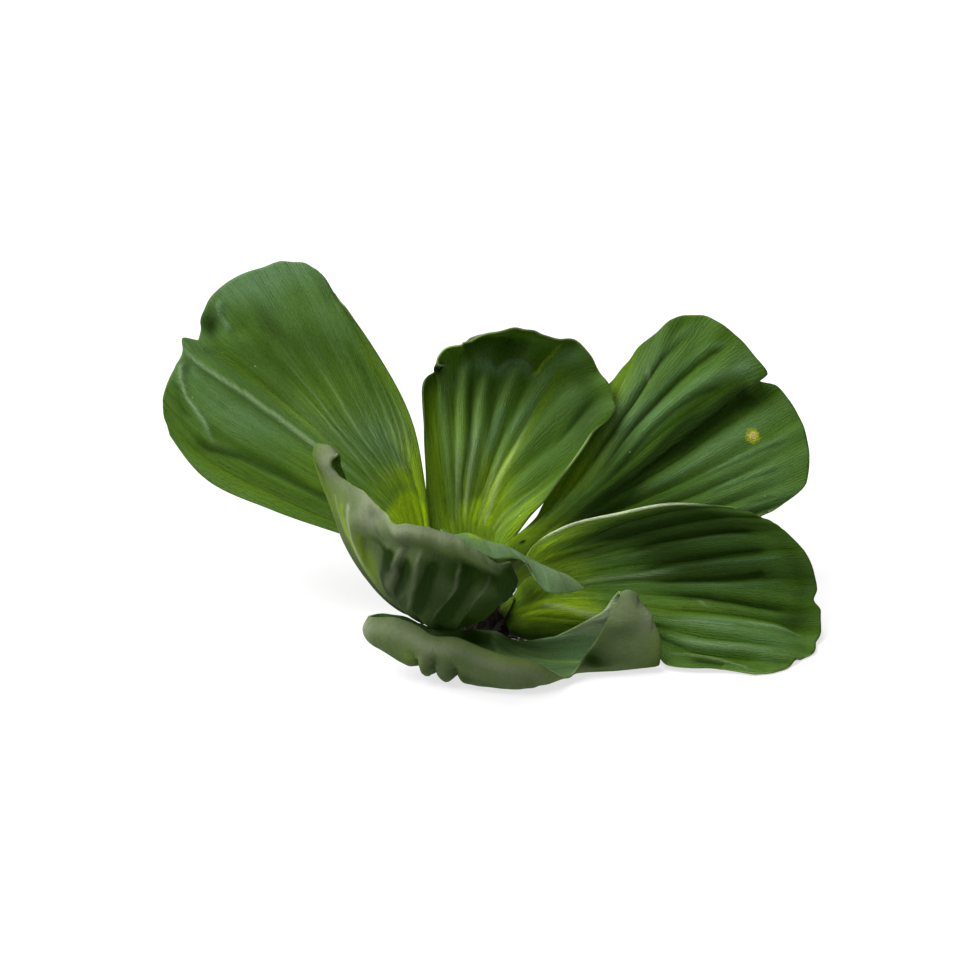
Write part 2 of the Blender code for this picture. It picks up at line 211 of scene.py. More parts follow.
# Surface of each leaf. All places and half sizes on a leaf are in per cent, across and along.
#   grooves  lines between the pleats, each as its place across at every one of GROOVE_LEVELS
#   contrast how strongly the crests are painted lighter and the valleys darker, as painted light and shade
#   depth    height of a pleat as a share of its width
#   crest    how narrow the crests are: 0.5 for broad and rounded ones, above 1 for narrow ones
#   lean     where the crests lie: 1 for the middle, above 1 nearer to the next groove
#   reach    where the pleats begin and where they get their full height, along, and fade where they end
#   flat_end where they end towards the leaf's right edge, across
#   base     where the yellow-green base ends, how soft its end is, and its strength; the base is partly painted glow
#   lines    height, half width, tint and its strength, and the points of a line that fades out at its end
#   dents    hollows: across, along, radius, depth
#   patches  soft patches of each tint: across, along, half size across, half size along, strength
# The tints, in the order of TINTS, are: dark green, painted shade where shade falls in hollows, creases,
# under overhangs and in cast shadows; yellow-green, partly the leaf's own colour and partly painted glow
# where light shines through or falls; bluish bloom, with painted sheen and highlights on crests and lit
# places; misty, nearly white lines and marks, partly pale marks of the leaf and partly painted highlights
# along folds and ridges; and veins (how strongly the veins show). A height or a depth below 0 does the
# opposite.
TINTS = ("painted_shade", "lime_and_glow", "bloom_and_highlight", "pale_and_highlight", "veins")
GROOVE_LEVELS = (0.0, 0.2, 0.4, 0.6, 0.8, 1.0)
USUAL_SURFACE = {"lean": 1, "fade": (80, 100), "flat_end": (100, 110), "lines": (), "dents": ()}
SURFACES = {
    "leaf_back_left": {
        "grooves": ((-92, -92, -92, -90, -88, -87), (-80, -80, -82, -82, -80, -78),
                    (-66, -68, -70, -70, -70, -70), (-50, -52, -55, -56, -54, -50),
                    (-30, -40, -30, -20, -20, -20), (-10, -32, -15, 2, 5, 5), (10, -24, 0, 20, 24, 25),
                    (30, -10, 20, 42, 45, 45), (50, 10, 42, 62, 66, 66), (75, 50, 70, 82, 85, 85)),
        "contrast": 0.5, "depth": 0.03, "crest": 0.7, "reach": (20, 50), "base": (31.2, 1.8, 1.3),
        "lines": (
            (1.2, 1, "bloom_and_highlight", 0.6, (-44, 100), (-42.5, 93), (-40.5, 86), (-38.5, 78), (-37.5, 68),
             (-37, 58), (-37, 50), (-38.5, 42), (-42, 34)),
            (0, 0.3, "pale_and_highlight", 0.22, (-44, 100), (-42.5, 93), (-40.5, 86), (-38.5, 78), (-37.5, 68),
             (-37, 58), (-37, 50), (-38.5, 42), (-42, 34)),
            (-1.5, 3.6, "bloom_and_highlight", 0.6, (-51, 100), (-50, 85), (-49, 70), (-49, 50)),
            (0, 1.8, "bloom_and_highlight", 0.35, (-33, 95), (-30, 80), (-29, 60)),
            (-0.8, 2.6, "painted_shade", 0.25, (-28, 97), (-25, 85), (-23, 70), (-23, 55)),
            (1, 1.1, "bloom_and_highlight", 0.7, (-50, 99), (-59, 96), (-64, 91), (-70, 84), (-75, 81.5), (-78, 74)),
            (0, 0.3, "pale_and_highlight", 0.22, (-50, 99), (-59, 96), (-64, 91), (-70, 84), (-75, 81.5), (-78, 77)),
            (-1, 1.7, "painted_shade", 0.7, (-84, 88), (-80, 80), (-75.5, 70), (-74.5, 60), (-74, 50), (-73, 42),
             (-70, 25)),
            (0.3, 1, "painted_shade", 0.3, (-69, 84), (-69, 70), (-69, 60), (-68, 50)),
            (-0.8, 1.6, "painted_shade", 0.25, (-62, 97), (-69, 92), (-76, 88)),
            (0.9, 0.8, "bloom_and_highlight", 1, (-6, 90), (-3.5, 94.5), (2, 97), (7, 96.5)),
            (0.12, 0.32, "pale_and_highlight", 0.1, (-20, 34), (-6, 45), (4, 55), (10, 65), (10, 85)),
            (0.12, 0.32, "pale_and_highlight", 0.1, (-5, 34), (10, 44), (24, 54), (30, 65), (31, 85)),
            (0.12, 0.32, "pale_and_highlight", 0.1, (-33, 36), (-25, 41), (-10, 50), (-2, 60), (0, 75)),
            (0.12, 0.32, "pale_and_highlight", 0.1, (10, 36), (25, 43), (40, 53), (45, 65), (46, 75)),
            (0.12, 0.32, "pale_and_highlight", 0.1, (30, 37), (50, 46), (59, 55), (60, 65), (60, 75)),
            (0.12, 0.32, "pale_and_highlight", 0.1, (40, 37), (55, 43), (67, 50), (71, 62), (72, 75)),
            (0.12, 0.32, "pale_and_highlight", 0.1, (50, 37), (65, 43), (76, 50), (80, 62), (81, 75)),
            (0.12, 0.32, "pale_and_highlight", 0.1, (70, 40), (85, 50), (88, 60), (88, 75)),
        ),
        "dents": ((-13, 96, 4.5, 2.6), (0, 89, 4, 0.8), (20, 85, 7, 0.9), (75, 93, 4, 0.8)),
        "patches": {
            "painted_shade": ((-13, 96.5, 9, 4, 1.1), (-36, 97, 3, 5, 0.4), (-86, 62, 4, 25, 0.35),
                     (17, 86, 6, 6, 0.5), (28, 80, 12, 6, 0.35), (0, 78, 10, 8, 0.35),
                     (20, 75, 60, 12, 0.2), (-10, 85, 5, 5, 0.3), (50, 78, 15, 6, 0.25),
                     (10, 70, 30, 5, 0.2), (70, 68, 6, 10, 0.3)),
            "lime_and_glow": ((85, 42, 20, 9, 0.8), (40, 35, 80, 4, 0.7), (96, 60, 5, 15, 0.4),
                     (-90, 70, 12, 25, 0.2), (-22, 66, 4, 20, 0.25), (10, 62, 40, 10, 0.15),
                     (-60, 50, 15, 8, 0.2), (85, 75, 8, 10, 0.2)),
            "bloom_and_highlight": ((50, 100, 45, 7, 1.1), (17, 98.5, 20, 4, 0.9), (60, 50, 35, 10, 0.35),
                      (-58, 80, 8, 12, 0.5), (-20, 58, 15, 12, 0.35), (30, 48, 50, 8, 0.4),
                      (60, 86, 20, 8, 0.4), (-40, 100, 20, 7, 0.7), (-97, 85, 4, 20, 0.2),
                      (25, 90, 8, 8, 0.4)),
            "veins": ((30, 65, 60, 25, 0.6),),
        },
    },
    "leaf_back_centre": {
        "grooves": ((-90, -75, -76, -80, -84, -88), (-65, -62, -60, -57, -56, -60),
                    (-45, -52, -50, -38, -35, -38), (-25, -45, -29, -15, -10, -12),
                    (-5, -38, -10, 9, 20, 24), (15, -25, 10, 33, 42, 46), (40, -5, 35, 60, 71, 73),
                    (60, 30, 68, 86, 94, 96)),
        "contrast": 1, "depth": 0.15, "crest": 1.1, "reach": (10, 60), "base": (30, 22, 0.5),
        "lines": (
            # A raised shelf under the curled tip with a painted highlight along it, then painted shade in
            # the hollow under the tip
            (0.6, 1.5, "bloom_and_highlight", 0.9, (-50, 86), (-36, 84.5), (-24, 81), (-12, 77.5), (-2, 78.5), (10, 80.5),
             (20, 79), (30, 80), (42, 83)),
            (1.1, 0.9, "bloom_and_highlight", 1, (-34, 87), (-24, 83.5), (-16, 80), (-11, 79), (-6, 80.5), (4, 82.5),
             (12, 83), (20, 80.5), (25, 80), (28, 82)),
            (0, 0.6, "pale_and_highlight", 0.1, (-19, 81), (-12, 79), (-6, 80.5), (4, 82.5), (12, 83), (20, 80.5),
             (25, 80)),
            (0.7, 0.6, "lime_and_glow", 0.6, (22, 79), (27, 83), (27, 88), (24, 93), (20, 100)),
            (-3.2, 4, "painted_shade", 1, (-53, 94), (-35, 92), (-20, 89), (-8, 86.5), (5, 87), (16, 88)),
            (0.3, 1.1, "bloom_and_highlight", 1.2, (-47, 88), (-50, 70), (-55, 50), (-64, 30)),
            (0, 1.1, "lime_and_glow", 0.3, (-47, 86), (-50, 70), (-55, 50)),
            (0.3, 1.2, "bloom_and_highlight", 1.3, (-24, 79), (-27, 65), (-33, 52), (-48, 30)),
            (0, 1.2, "lime_and_glow", 0.3, (-24, 79), (-27, 65), (-33, 52)),
            (0.3, 1.1, "bloom_and_highlight", 1.2, (5, 80), (2, 68), (-7, 55), (-20, 38)),
            (0, 1.1, "lime_and_glow", 0.3, (5, 81), (3, 70), (-3, 60)),
            (0.2, 1.2, "bloom_and_highlight", 0.7, (36, 86), (32, 72), (22, 60), (10, 50)),
            (0, 0.8, "bloom_and_highlight", 0.5, (-66, 80), (-67, 60), (-70, 40)),
            (0.5, 1.3, "lime_and_glow", 0.8, (-8, 21), (5, 29), (17, 38), (28, 48), (36, 58), (40, 70)),
            (0.2, 0.9, "lime_and_glow", 0.6, (8, 21), (24, 29), (38, 37), (48, 46), (55, 56)),
            (0.1, 0.8, "lime_and_glow", 0.5, (-30, 24), (-20, 32), (-13, 42), (-7, 55)),
            (0.1, 0.8, "lime_and_glow", 0.4, (-50, 26), (-45, 36), (-42, 50)),
            (0, 0.7, "pale_and_highlight", 0.25, (-5, 22), (8, 30), (19, 39), (28, 48), (34, 60), (38, 75)),
            (0.2, 0.6, "pale_and_highlight", 0.1, (25, 21), (50, 28), (70, 37), (80, 48), (85, 65)),
            (0.2, 0.5, "pale_and_highlight", 0.08, (45, 21), (72, 29), (88, 40), (92, 55)),
            (0.2, 0.6, "pale_and_highlight", 0.14, (-20, 25), (-5, 33), (6, 42), (15, 60)),
            (-0.4, 1.4, "painted_shade", 0.45, (10, 25), (30, 33), (45, 42), (55, 55), (60, 70)),
            (-0.4, 1.4, "painted_shade", 0.45, (-20, 31), (-7, 41), (3, 50), (10, 60), (15, 75)),
            (-0.3, 1.6, "painted_shade", 0.5, (-36, 32), (-22, 42), (-13, 52), (-10, 65), (-10, 78)),
            (-0.3, 1.6, "painted_shade", 0.5, (-52, 33), (-42, 45), (-38, 60), (-36, 75), (-35, 85)),
            (0.1, 0.5, "pale_and_highlight", 0.15, (-64, 28), (-58, 40), (-54, 55), (-52, 70)),
            (0.1, 0.5, "pale_and_highlight", 0.15, (-48, 27), (-40, 40), (-31, 55), (-27, 70)),
            (-1, 1.5, "painted_shade", 0.8, (-80, 98), (-70, 93), (-63, 87)),
        ),
        "dents": ((60, 90, 6, 1), (-62, 95, 4, 1)),
        "patches": {
            "painted_shade": ((-30, 94, 20, 4, 0.5), (0, 92, 15, 4, 0.5), (-12, 66, 4.5, 13, 0.5),
                     (-37, 65, 4.5, 18, 0.5), (17, 70, 4, 10, 0.5), (55, 93, 12, 5, 0.5),
                     (72, 78, 4, 15, 0.45), (-57, 72, 3, 12, 0.4), (62, 62, 5, 10, 0.35),
                     (60, 75, 35, 20, 0.3), (-86, 97, 10, 6, 1), (0, 100, 30, 3, 0.8),
                     (-100, 80, 3, 20, 0.6), (75, 85, 12, 12, 0.5), (80, 90, 20, 10, 0.3)),
            "lime_and_glow": ((0, 98, 20, 3, 0.2), (15, 30, 50, 10, 0.5), (95, 34, 12, 16, 0.7),
                     (-92, 60, 14, 40, 0.55), (-60, 60, 30, 30, 0.25), (-35, 28, 40, 6, 0.5),
                     (40, 75, 5, 15, 0.25), (-10, 45, 60, 12, 0.2)),
            "bloom_and_highlight": ((-35, 60, 40, 20, 0.3), (36, 93, 9, 5, 0.6), (85, 85, 12, 15, 0.15),
                      (60, 85, 10, 6, 0.3), (-30, 82, 25, 4, 0.5), (-65, 85, 8, 10, 0.4)),
            "veins": ((50, 68, 40, 28, 1.3), (10, 55, 30, 20, 0.6)),
        },
    },
    "leaf_back_right": {
        "grooves": ((-90, -86, -88, -89, -86, -80), (-68, -70, -75, -76, -60, -46),
                    (-48, -50, -55, -52, -36, -20), (-22, -24, -30, -24, -10, 0), (5, 8, 22, 25, 22, 22),
                    (30, 32, 44, 46, 43, 38), (50, 52, 60, 60, 56, 50), (70, 70, 75, 75, 71, 67),
                    (88, 88, 90, 90, 88, 86)),
        "contrast": 0.9, "depth": 0.13, "crest": 0.6, "reach": (20, 60), "base": (26, 10, 0.45),
        "lines": (
            (-1.2, 6.5, "", 0, (10, 100), (11, 90), (11, 80), (10, 70), (6, 60), (0, 50), (-2, 40)),
            (0, 4.5, "painted_shade", 1, (12, 97), (13, 85), (12, 75), (10, 65), (5, 55)),
            (0.6, 2, "bloom_and_highlight", 0.5, (-2, 98), (-8, 93), (-17, 86), (-27, 77), (-35, 67), (-38, 57)),
            (0.3, 1.2, "bloom_and_highlight", 0.5, (-20, 98), (-30, 92), (-40, 82), (-50, 73), (-58, 65), (-60, 55),
             (-60, 45)),
            (0.3, 1.2, "bloom_and_highlight", 0.4, (-40, 98), (-55, 90), (-68, 80), (-75, 70), (-76, 60), (-72, 45)),
            (-0.4, 1.1, "painted_shade", 0.7, (-8, 88), (-13, 84), (-24, 74), (-32, 64), (-34, 55), (-30, 35)),
            (-0.4, 1.1, "painted_shade", 0.7, (-20, 96), (-24, 93), (-35, 82), (-46, 71), (-53, 62), (-52, 40)),
            (-0.4, 1, "painted_shade", 0.6, (-43, 94), (-47, 91), (-60, 81), (-69, 70), (-70, 60), (-66, 40)),
            (-0.3, 0.9, "painted_shade", 0.4, (47, 95), (47.5, 80), (50, 65)),
            (0.2, 0.7, "bloom_and_highlight", 0.5, (45, 95), (45.5, 80), (48, 65)),
            (-0.3, 0.9, "painted_shade", 0.35, (60, 93), (61, 80), (63, 68)),
            (0.2, 0.7, "bloom_and_highlight", 0.5, (58, 93), (59, 80), (61, 68)),
            (-0.3, 0.9, "painted_shade", 0.3, (76, 92), (76, 82)),
            (0.1, 0.8, "bloom_and_highlight", 0.5, (34, 75), (37, 60), (38, 46)),
            (0.1, 0.5, "pale_and_highlight", 0.25, (-62, 88), (-58, 83), (-54, 81)),
            (0.1, 0.5, "pale_and_highlight", 0.2, (-80, 92), (-83, 85), (-80, 80)),
        ),
        "patches": {
            "painted_shade": ((5, 44, 33, 16, 1.3), (30, 40, 20, 12, 1), (0, 86, 5, 10, 0.9), (19, 94, 5, 5, 0.8),
                     (-10, 72, 6, 8, 0.4), (6, 75, 5, 14, 0.5), (5, 60, 12, 15, 0.9), (-5, 66, 10, 12, 0.6),
                     (-45, 50, 15, 12, 0.4), (-62, 16.3, 5, 0.8, 3), (20, 97, 10, 4, 0.3),
                     (-20, 25, 50, 6, 0.25)),
            # The large lime and bloom patches at about -90 to -70 across and 57 along are painted light
            # over the shadow that leaf_back_centre casts
            "lime_and_glow": ((-90, 57, 20, 20, 0.8), (-90, 92, 15, 10, 0.4), (-60, 20, 70, 7, 0.5),
                     (-95, 36, 12, 12, 0.9), (42, 53, 8, 4, 0.2), (-75, 50, 20, 14, 0.45)),
            "bloom_and_highlight": ((-60, 92, 15, 8, 0.3), (30, 80, 6, 15, 0.5), (-72, 58, 22, 20, 1.1),
                      (-40, 65, 10, 10, 0.5), (55, 85, 15, 15, 0.45), (80, 92, 15, 10, 0.5),
                      (-8, 96, 8, 4, 0.5), (36, 58, 5, 10, 0.3)),
            "veins": ((30, 80, 50, 20, 0.3),),
        },
    },
    "leaf_right": {
        "grooves": ((-85, -62, -70, -82, -88, -95), (-60, -50, -55, -62, -70, -78),
                    (-40, -38, -44, -45, -53, -60), (-20, -20, -25, -24, -33, -42),
                    (-5, -4, -8, -5, -12, -20), (12, 4, 10, 12, 13, 2), (35, 25, 25, 28, 24, 18),
                    (55, 45, 50, 58, 52, 45), (75, 68, 72, 76, 73, 68)),
        "contrast": 0.9, "depth": 0.15, "crest": 0.55, "reach": (25, 70), "base": (24, 12, 0.5),
        "lines": (
            (0.3, 0.22, "pale_and_highlight", 1.2, (-99, 27), (-99, 45), (-98.5, 60), (-98.5, 75), (-99, 98)),
            (0.3, 0.8, "bloom_and_highlight", 0.8, (-50, 88), (-48, 78), (-44, 67), (-40, 58), (-35, 48), (-29, 38)),
            (0.3, 0.8, "bloom_and_highlight", 0.9, (-32, 92), (-27, 82), (-22, 70), (-18, 58), (-13, 46), (-10, 34)),
            (0.2, 1, "bloom_and_highlight", 0.5, (-14, 90), (-6, 80), (-1, 70), (2, 60), (3, 50)),
            (0.3, 1.3, "bloom_and_highlight", 0.3, (-72, 90), (-68, 80), (-62, 70), (-57, 60), (-52, 50)),
            (-0.3, 1, "painted_shade", 0.9, (-56, 90), (-53, 78), (-48, 65), (-42, 52), (-36, 40)),
            (-0.3, 1, "painted_shade", 0.9, (-37, 88), (-32, 78), (-26, 65), (-21, 52), (-16, 40)),
            (-0.3, 1.1, "painted_shade", 1, (-19, 85), (-10, 74), (-6, 64), (-5, 52), (-4, 42)),
            (-0.4, 1.6, "painted_shade", 0.9, (10, 90), (12, 78), (12.5, 66), (11, 54), (8, 44)),
            (0.7, 1.3, "bloom_and_highlight", 0.6, (27, 95), (29, 90), (33, 80), (37, 70), (39, 60), (39, 48)),
            (0, 0.5, "pale_and_highlight", 0.14, (27, 95), (28.5, 90), (32, 82), (36, 72)),
            (0, 0.5, "pale_and_highlight", 0.08, (39, 74), (41, 66), (41, 56), (40, 48)),
            (0, 0.5, "pale_and_highlight", 0.1, (62, 90), (65, 80), (67, 70), (70, 60), (74, 50)),
            (0.5, 1.3, "bloom_and_highlight", 0.6, (55, 92), (61, 82), (66, 72), (68, 62), (69, 50)),
            (0.5, 0.5, "pale_and_highlight", 0.12, (93, 95), (86, 87), (80, 79), (78.5, 73), (81, 67), (90, 62.5),
             (100, 60)),
            (-0.3, 1.5, "painted_shade", 0.6, (90, 84), (87, 76), (90, 68)),
            (0.2, 0.7, "lime_and_glow", 0.3, (-85, 22), (-80, 35), (-75, 50), (-70, 65)),
            (0.2, 0.6, "lime_and_glow", 0.25, (-62, 22), (-58, 35), (-54, 50)),
            (0.4, 1.2, "lime_and_glow", 0.9, (-10, 2), (5, 9), (20, 14), (36, 20), (45, 30), (48, 50)),
            (0.3, 0.8, "lime_and_glow", 0.8, (28, 5), (38, 12), (46, 19), (53, 26), (57, 36), (58, 55)),
            (0, 0.7, "pale_and_highlight", 0.3, (20, 12), (36, 19), (46, 26), (52, 35), (55, 50)),
            (0.2, 0.6, "lime_and_glow", 0.6, (46, 6), (56, 14), (62, 22), (66, 32), (68, 50)),
            (0.2, 0.7, "lime_and_glow", 0.5, (-30, 12), (-10, 16), (5, 22), (12, 32)),
            (0.2, 0.6, "pale_and_highlight", 0.12, (-8, 26), (-11.5, 34), (-13, 45), (-14, 60)),
            (0, 0.3, "pale_and_highlight", 0.12, (17, 61.5), (19.5, 62.2), (21.5, 63.5), (21.8, 66)),
        ),
        "dents": ((20, 93, 5, 2), (-65, 96, 5, 0.8)),
        "patches": {
            "painted_shade": ((-80, 75, 20, 25, 1), (-45, 75, 40, 30, 0.65), (-15, 62, 30, 30, 0.5),
                     (-68, 46, 17, 16, 0.9), (86, 75, 8, 15, 0.5), (15, 94, 10, 5, 0.6),
                     (-25, 95, 30, 3, 0.3), (-40, 55, 30, 12, 0.3), (0, 0, 130, 4, 0.9),
                     (100, 12, 32, 16, 1.3), (-50, 11, 40, 3, 0.6), (42, 95, 5, 3, 0.4),
                     (70, 95, 5, 4, 0.4)),
            "lime_and_glow": ((-100, 60, 6, 12, 0.8), (-93, 34, 14, 14, 0.6), (-65, 24, 25, 5, 0.5),
                     (23, 22, 12, 5, 0.6), (35, 26, 20, 6, 0.4), (-30, 28, 20, 5, 0.3),
                     (25, 55, 8, 15, 0.15)),
            "bloom_and_highlight": ((-100, 88, 5, 12, 0.8), (45, 85, 10, 15, 0.4), (43, 65, 4, 15, 0.4),
                      (65, 92, 10, 6, 0.4), (-20, 75, 4, 20, 0.3), (-3, 60, 2, 20, 0.35),
                      (-38, 72, 4, 15, 0.3)),
            "veins": ((0, 40, 100, 15, 0.4),),
        },
    },
    "leaf_front_left": {
        "grooves": ((-85, -80, -82, -84, -86, -90), (-50, -30, -38, -47, -56, -70),
                    (-15, 0, 8, -20, -32, -40), (10, 30, 40, 16, 0, -12), (35, 50, 56, 38, 19, 8),
                    (65, 72, 76, 72, 68, 66), (80, 84, 86, 80, 75.5, 74)),
        "contrast": 0.3, "depth": 0.22, "crest": 0.5, "lean": 1.6, "reach": (5, 30), "fade": (80, 90),
        "flat_end": (62, 76), "base": (12, 6, 0),
        "lines": (
            (1.5, 2.2, "", 0, (-75, 88), (-50, 87), (-30, 86), (-10, 89), (8, 88), (25, 84), (45, 82),
             (66, 82)),
            (-1, 2, "bloom_and_highlight", 0.3, (-85, 95), (-40, 95), (0, 96), (20, 93), (40, 89), (62, 88)),
            (-0.3, 2.6, "pale_and_highlight", 0.3, (30, 97), (45, 93), (58, 90), (66, 86), (70, 80)),
            (-0.3, 0.9, "pale_and_highlight", 0.8, (70, 93), (72, 84), (73, 72), (75, 62), (80, 50)),
            (0, 0.8, "lime_and_glow", 0.5, (62, 80), (66, 70), (72, 60)),
            (0, 1, "lime_and_glow", 0.5, (76, 90), (77, 78), (79, 66), (84, 54)),
            (-0.3, 0.6, "pale_and_highlight", 0.5, (79, 90), (80, 78), (83, 66), (90, 55)),
            # Painted highlights along the ribs, and painted shade just beside them
            (0, 0.4, "pale_and_highlight", 0.12, (-62, 88), (-55, 78), (-50, 65), (-46, 50), (-38, 37), (-25, 20)),
            (0, 0.45, "pale_and_highlight", 0.16, (-34, 88), (-30, 78), (-22, 60), (-7, 45), (15, 30)),
            (0, 0.5, "pale_and_highlight", 0.22, (-6, 90), (2, 78), (14, 60), (25, 48), (50, 33)),
            (0, 0.6, "pale_and_highlight", 0.3, (12, 90), (20, 79), (30, 68), (42, 55), (55, 40)),
            (0, 2, "painted_shade", 0.8, (-42, 84), (-37, 75), (-31, 60), (-22, 46), (0, 33)),
            (0, 2, "painted_shade", 0.8, (-14, 85), (-8, 76), (3, 60), (14, 47), (35, 34)),
            (0, 2, "painted_shade", 0.9, (5, 85), (12, 76), (21, 66), (33, 53), (50, 36)),
            (0, 1.8, "painted_shade", 0.7, (22, 83), (30, 75), (40, 65), (50, 54), (62, 42)),
            (0, 1.6, "painted_shade", 0.5, (60, 80), (64, 72), (70, 60), (74, 50)),
            (0, 1, "painted_shade", 0.5, (22, 80), (40, 79), (62, 79)),
        ),
        "dents": ((38, 93, 3.2, -1.6), (0, 91, 3, -0.8)),
        "patches": {
            "painted_shade": ((-75, 50, 40, 35, 1), (-5, 60, 45, 25, 0.9), (-30, 82, 20, 8, 0.5),
                     (50, 55, 12, 12, 0.5), (0, 30, 80, 12, 0.8), (30, 75, 15, 6, 0.6),
                     (-95, 75, 20, 25, 1), (85, 35, 10, 10, 0.5), (-60, 85, 40, 8, 0.6),
                     (-95, 95, 25, 10, 1), (40, 86, 7, 4, 0.45), (16, 93, 12, 3, 0.4)),
            "lime_and_glow": ((64, 62, 14, 12, 0.6), (77, 68, 8, 20, 0.7), (90, 80, 6, 15, 0.3),
                     (-40, 92, 30, 3, 0.2)),
            "bloom_and_highlight": ((50, 88, 14, 6, 0.7), (-20, 99, 70, 3, 0.4), (90, 99, 12, 4, 0.9),
                      (30, 98, 30, 4, 0.8)),
            "pale_and_highlight": ((73, 64, 3, 10, 0.35),),
        },
    },
    "leaf_inner": {
        "grooves": ((-80, -80, -82, -85, -85, -85), (-50, -50, -50, -52, -55, -62),
                    (-20, -20, -20, -22, -30, -35), (10, 10, 10, 8, 5, 2), (40, 40, 40, 40, 38, 35),
                    (70, 70, 70, 70, 70, 68)),
        "contrast": 0.1, "depth": 0, "crest": 0.6, "reach": (10, 30), "base": (55, 15, 0.4),
        "patches": {
            "painted_shade": ((-17, 96, 8, 6, 0.6), (-70, 72, 20, 3, 0.3)),
            "lime_and_glow": ((50, 84, 12, 6, 0.9), (-60, 42, 40, 14, 0.6), (20, 62, 30, 6, 0.5)),
            "bloom_and_highlight": ((-50, 85, 40, 14, 1.3), (15, 90, 35, 9, 1)),
            "pale_and_highlight": ((-75, 82, 40, 14, 0.22), (10, 88, 35, 8, 0.1)),
        },
    },
    "leaf_front": {
        "grooves": ((-85, -85, -85, -85, -85, -85), (-66, -66, -66, -66, -66, -66),
                    (-42, -42, -42, -42, -42, -42), (-20, -20, -18, -18, -18, -18), (0, 0, 2, 4, 4, 4),
                    (19, 19, 19, 19, 19, 18), (28.5, 28.5, 28.5, 28.5, 28.5, 28), (45, 45, 47, 48, 50, 50),
                    (70, 70, 70, 70, 70, 70), (88, 88, 88, 88, 88, 88)),
        "contrast": 0.2, "depth": 0.03, "crest": 0.7, "reach": (10, 30), "base": (12, 6, 0),
        "lines": (
            (2.6, 1.5, "", 0, (40, 45), (38, 60), (37, 72), (35, 88)),
            (2.6, 1.4, "", 0, (30, 44), (28.5, 60), (27.5, 72), (25, 92)),
            (2.6, 1.5, "", 0, (19, 43), (18, 60), (17, 72), (14, 86)),
            (-0.6, 1.4, "", 0, (32, 62), (32, 74)),
            (-0.7, 1.4, "", 0, (22.5, 60), (22, 74)),
        ),
        "patches": {
            "painted_shade": ((25, 79, 2.5, 6, 0.5), (12, 67, 5, 7, 0.5), (33, 71, 3, 4, 0.4), (0, 70, 12, 4, 0.4),
                     (-65, 68, 30, 7, 0.6), (-60, 97, 6, 8, 1.2), (0, 5, 130, 7, 1.2), (30, 12, 60, 5, 0.8),
                     (50, 62, 15, 3, 0.5), (-75, 90, 6, 6, 0.3), (-30, 17, 40, 5, 0.6),
                     (-93, 17, 20, 12, 1), (-76, 98, 8, 6, 0.5)),
            "lime_and_glow": ((-75, 75, 12, 5, 0.4), (38, 76, 5, 6, 0.4), (-5, 97, 30, 3, 0.3),
                     (-62, 35, 5, 20, 0.3)),
            # The bloom and pale patches near the left end are painted light on the inner face, which lies
            # in the shade of the other leaves, and a painted highlight along the top edge
            "bloom_and_highlight": ((-94, 55, 14, 25, 1.3), (66, 90, 5, 12, 0.8), (-75, 36, 12, 8, 0.8),
                      (20, 92, 50, 5, 0.5)),
            "pale_and_highlight": ((-77, 81, 5, 5, 0.25), (-84, 82, 5, 5, 0.25), (-100, 78, 5, 15, 0.4),
                     (-97, 62, 7, 22, 0.5)),
        },
    },
}
YOUNG_LEAVES = ("leaf_inner", "leaf_front")
LEAVES_SEEN_FROM_BELOW = ("leaf_front_left", "leaf_front")
DAMAGED_LEAF = "leaf_back_right"
DAMAGE_PLACE = (36, 87)
DAMAGE_RADIUS = 4.0

# Colours of small marks and of the light that comes through a leaf
SHINE_THROUGH = (0.42, 0.72, 0.01)
SPECK = (0.55, 0.62, 0.45)
SPOT_YELLOW = (0.42, 0.48, 0.01)
CRUST_BROWN = (0.32, 0.10, 0.02)
CRUST_PALE = (0.95, 0.70, 0.42)
DRY_CROWN = (0.045, 0.020, 0.012)
DRY_ROOT = (0.09, 0.05, 0.03)

# Noises: cells for each metre, detail, and roughness where it isn't the usual 0.5
GRAIN = (1500.0, 3.0, 0.6)
BROAD_PATCHES = (45.0, 4.0, 0.6)
MOTTLE = (130.0, 4.0, 0.6)
UNDERSIDE_PATCHES = (60.0, 4.0, 0.6)
MARGIN_PATCHES = (120.0, 3.0)
MARGIN_GRAIN = (1500.0, 2.0)
SPOT_EDGE = (900.0, 3.0)
CRUST_GRAIN = (2200.0, 2.0)
FIBRE_STREAKS = (700.0, 4.0, 0.6)
FIBRE_PATCHES = (110.0, 2.0)
PAPER_GRAIN = (600.0, 2.0)

# Streaks along a leaf: cells across and along it, detail and roughness. Veins are counted across a leaf.
# Specks lie in some of the cells of a pattern, with SPECK_CELLS for each metre.
LONG_STREAKS = (60.0, 1.2, 4.0, 0.6)
VEINS = 110.0
YOUNG_VEINS = 70.0
UNDERSIDE_VEINS = 60.0
SPECK_CELLS = 170.0
SPECK_SIZE = 0.05

# Old leaf bases, made large and dark, most of them on the crown's right side, where they fill the shaded
# gap between the leaves with dark as painted shade: turn in degrees, height of the foot, length and width
OLD_BASES_FOR_SHADE = ((-38, 6.3, 5.0, 5.0), (-14, 6.2, 7.0, 5.5), (4, 6.2, 9.5, 6.0), (22, 6.4, 10.5, 6.5),
             (40, 6.5, 10.0, 6.5), (62, 6.5, 8.5, 6.0), (-75, 6.4, 3.5, 4.0), (180, 6.5, 4.0, 4.5))

# Crown: a ridge is a count, a twist and a height as a share of the radius. SCALE_TURN is the turn in
# radians from one scale to the next.
CROWN_SIDES = 96
CROWN_LEVELS = 22
CROWN_RIDGES = ((11, 5, 0.05), (23, -9, 0.03))
CROWN_SEED = 5
SCALE_TURN = 2.4
SCALE_STEPS = 7
SCALE_THICKNESS = 0.12

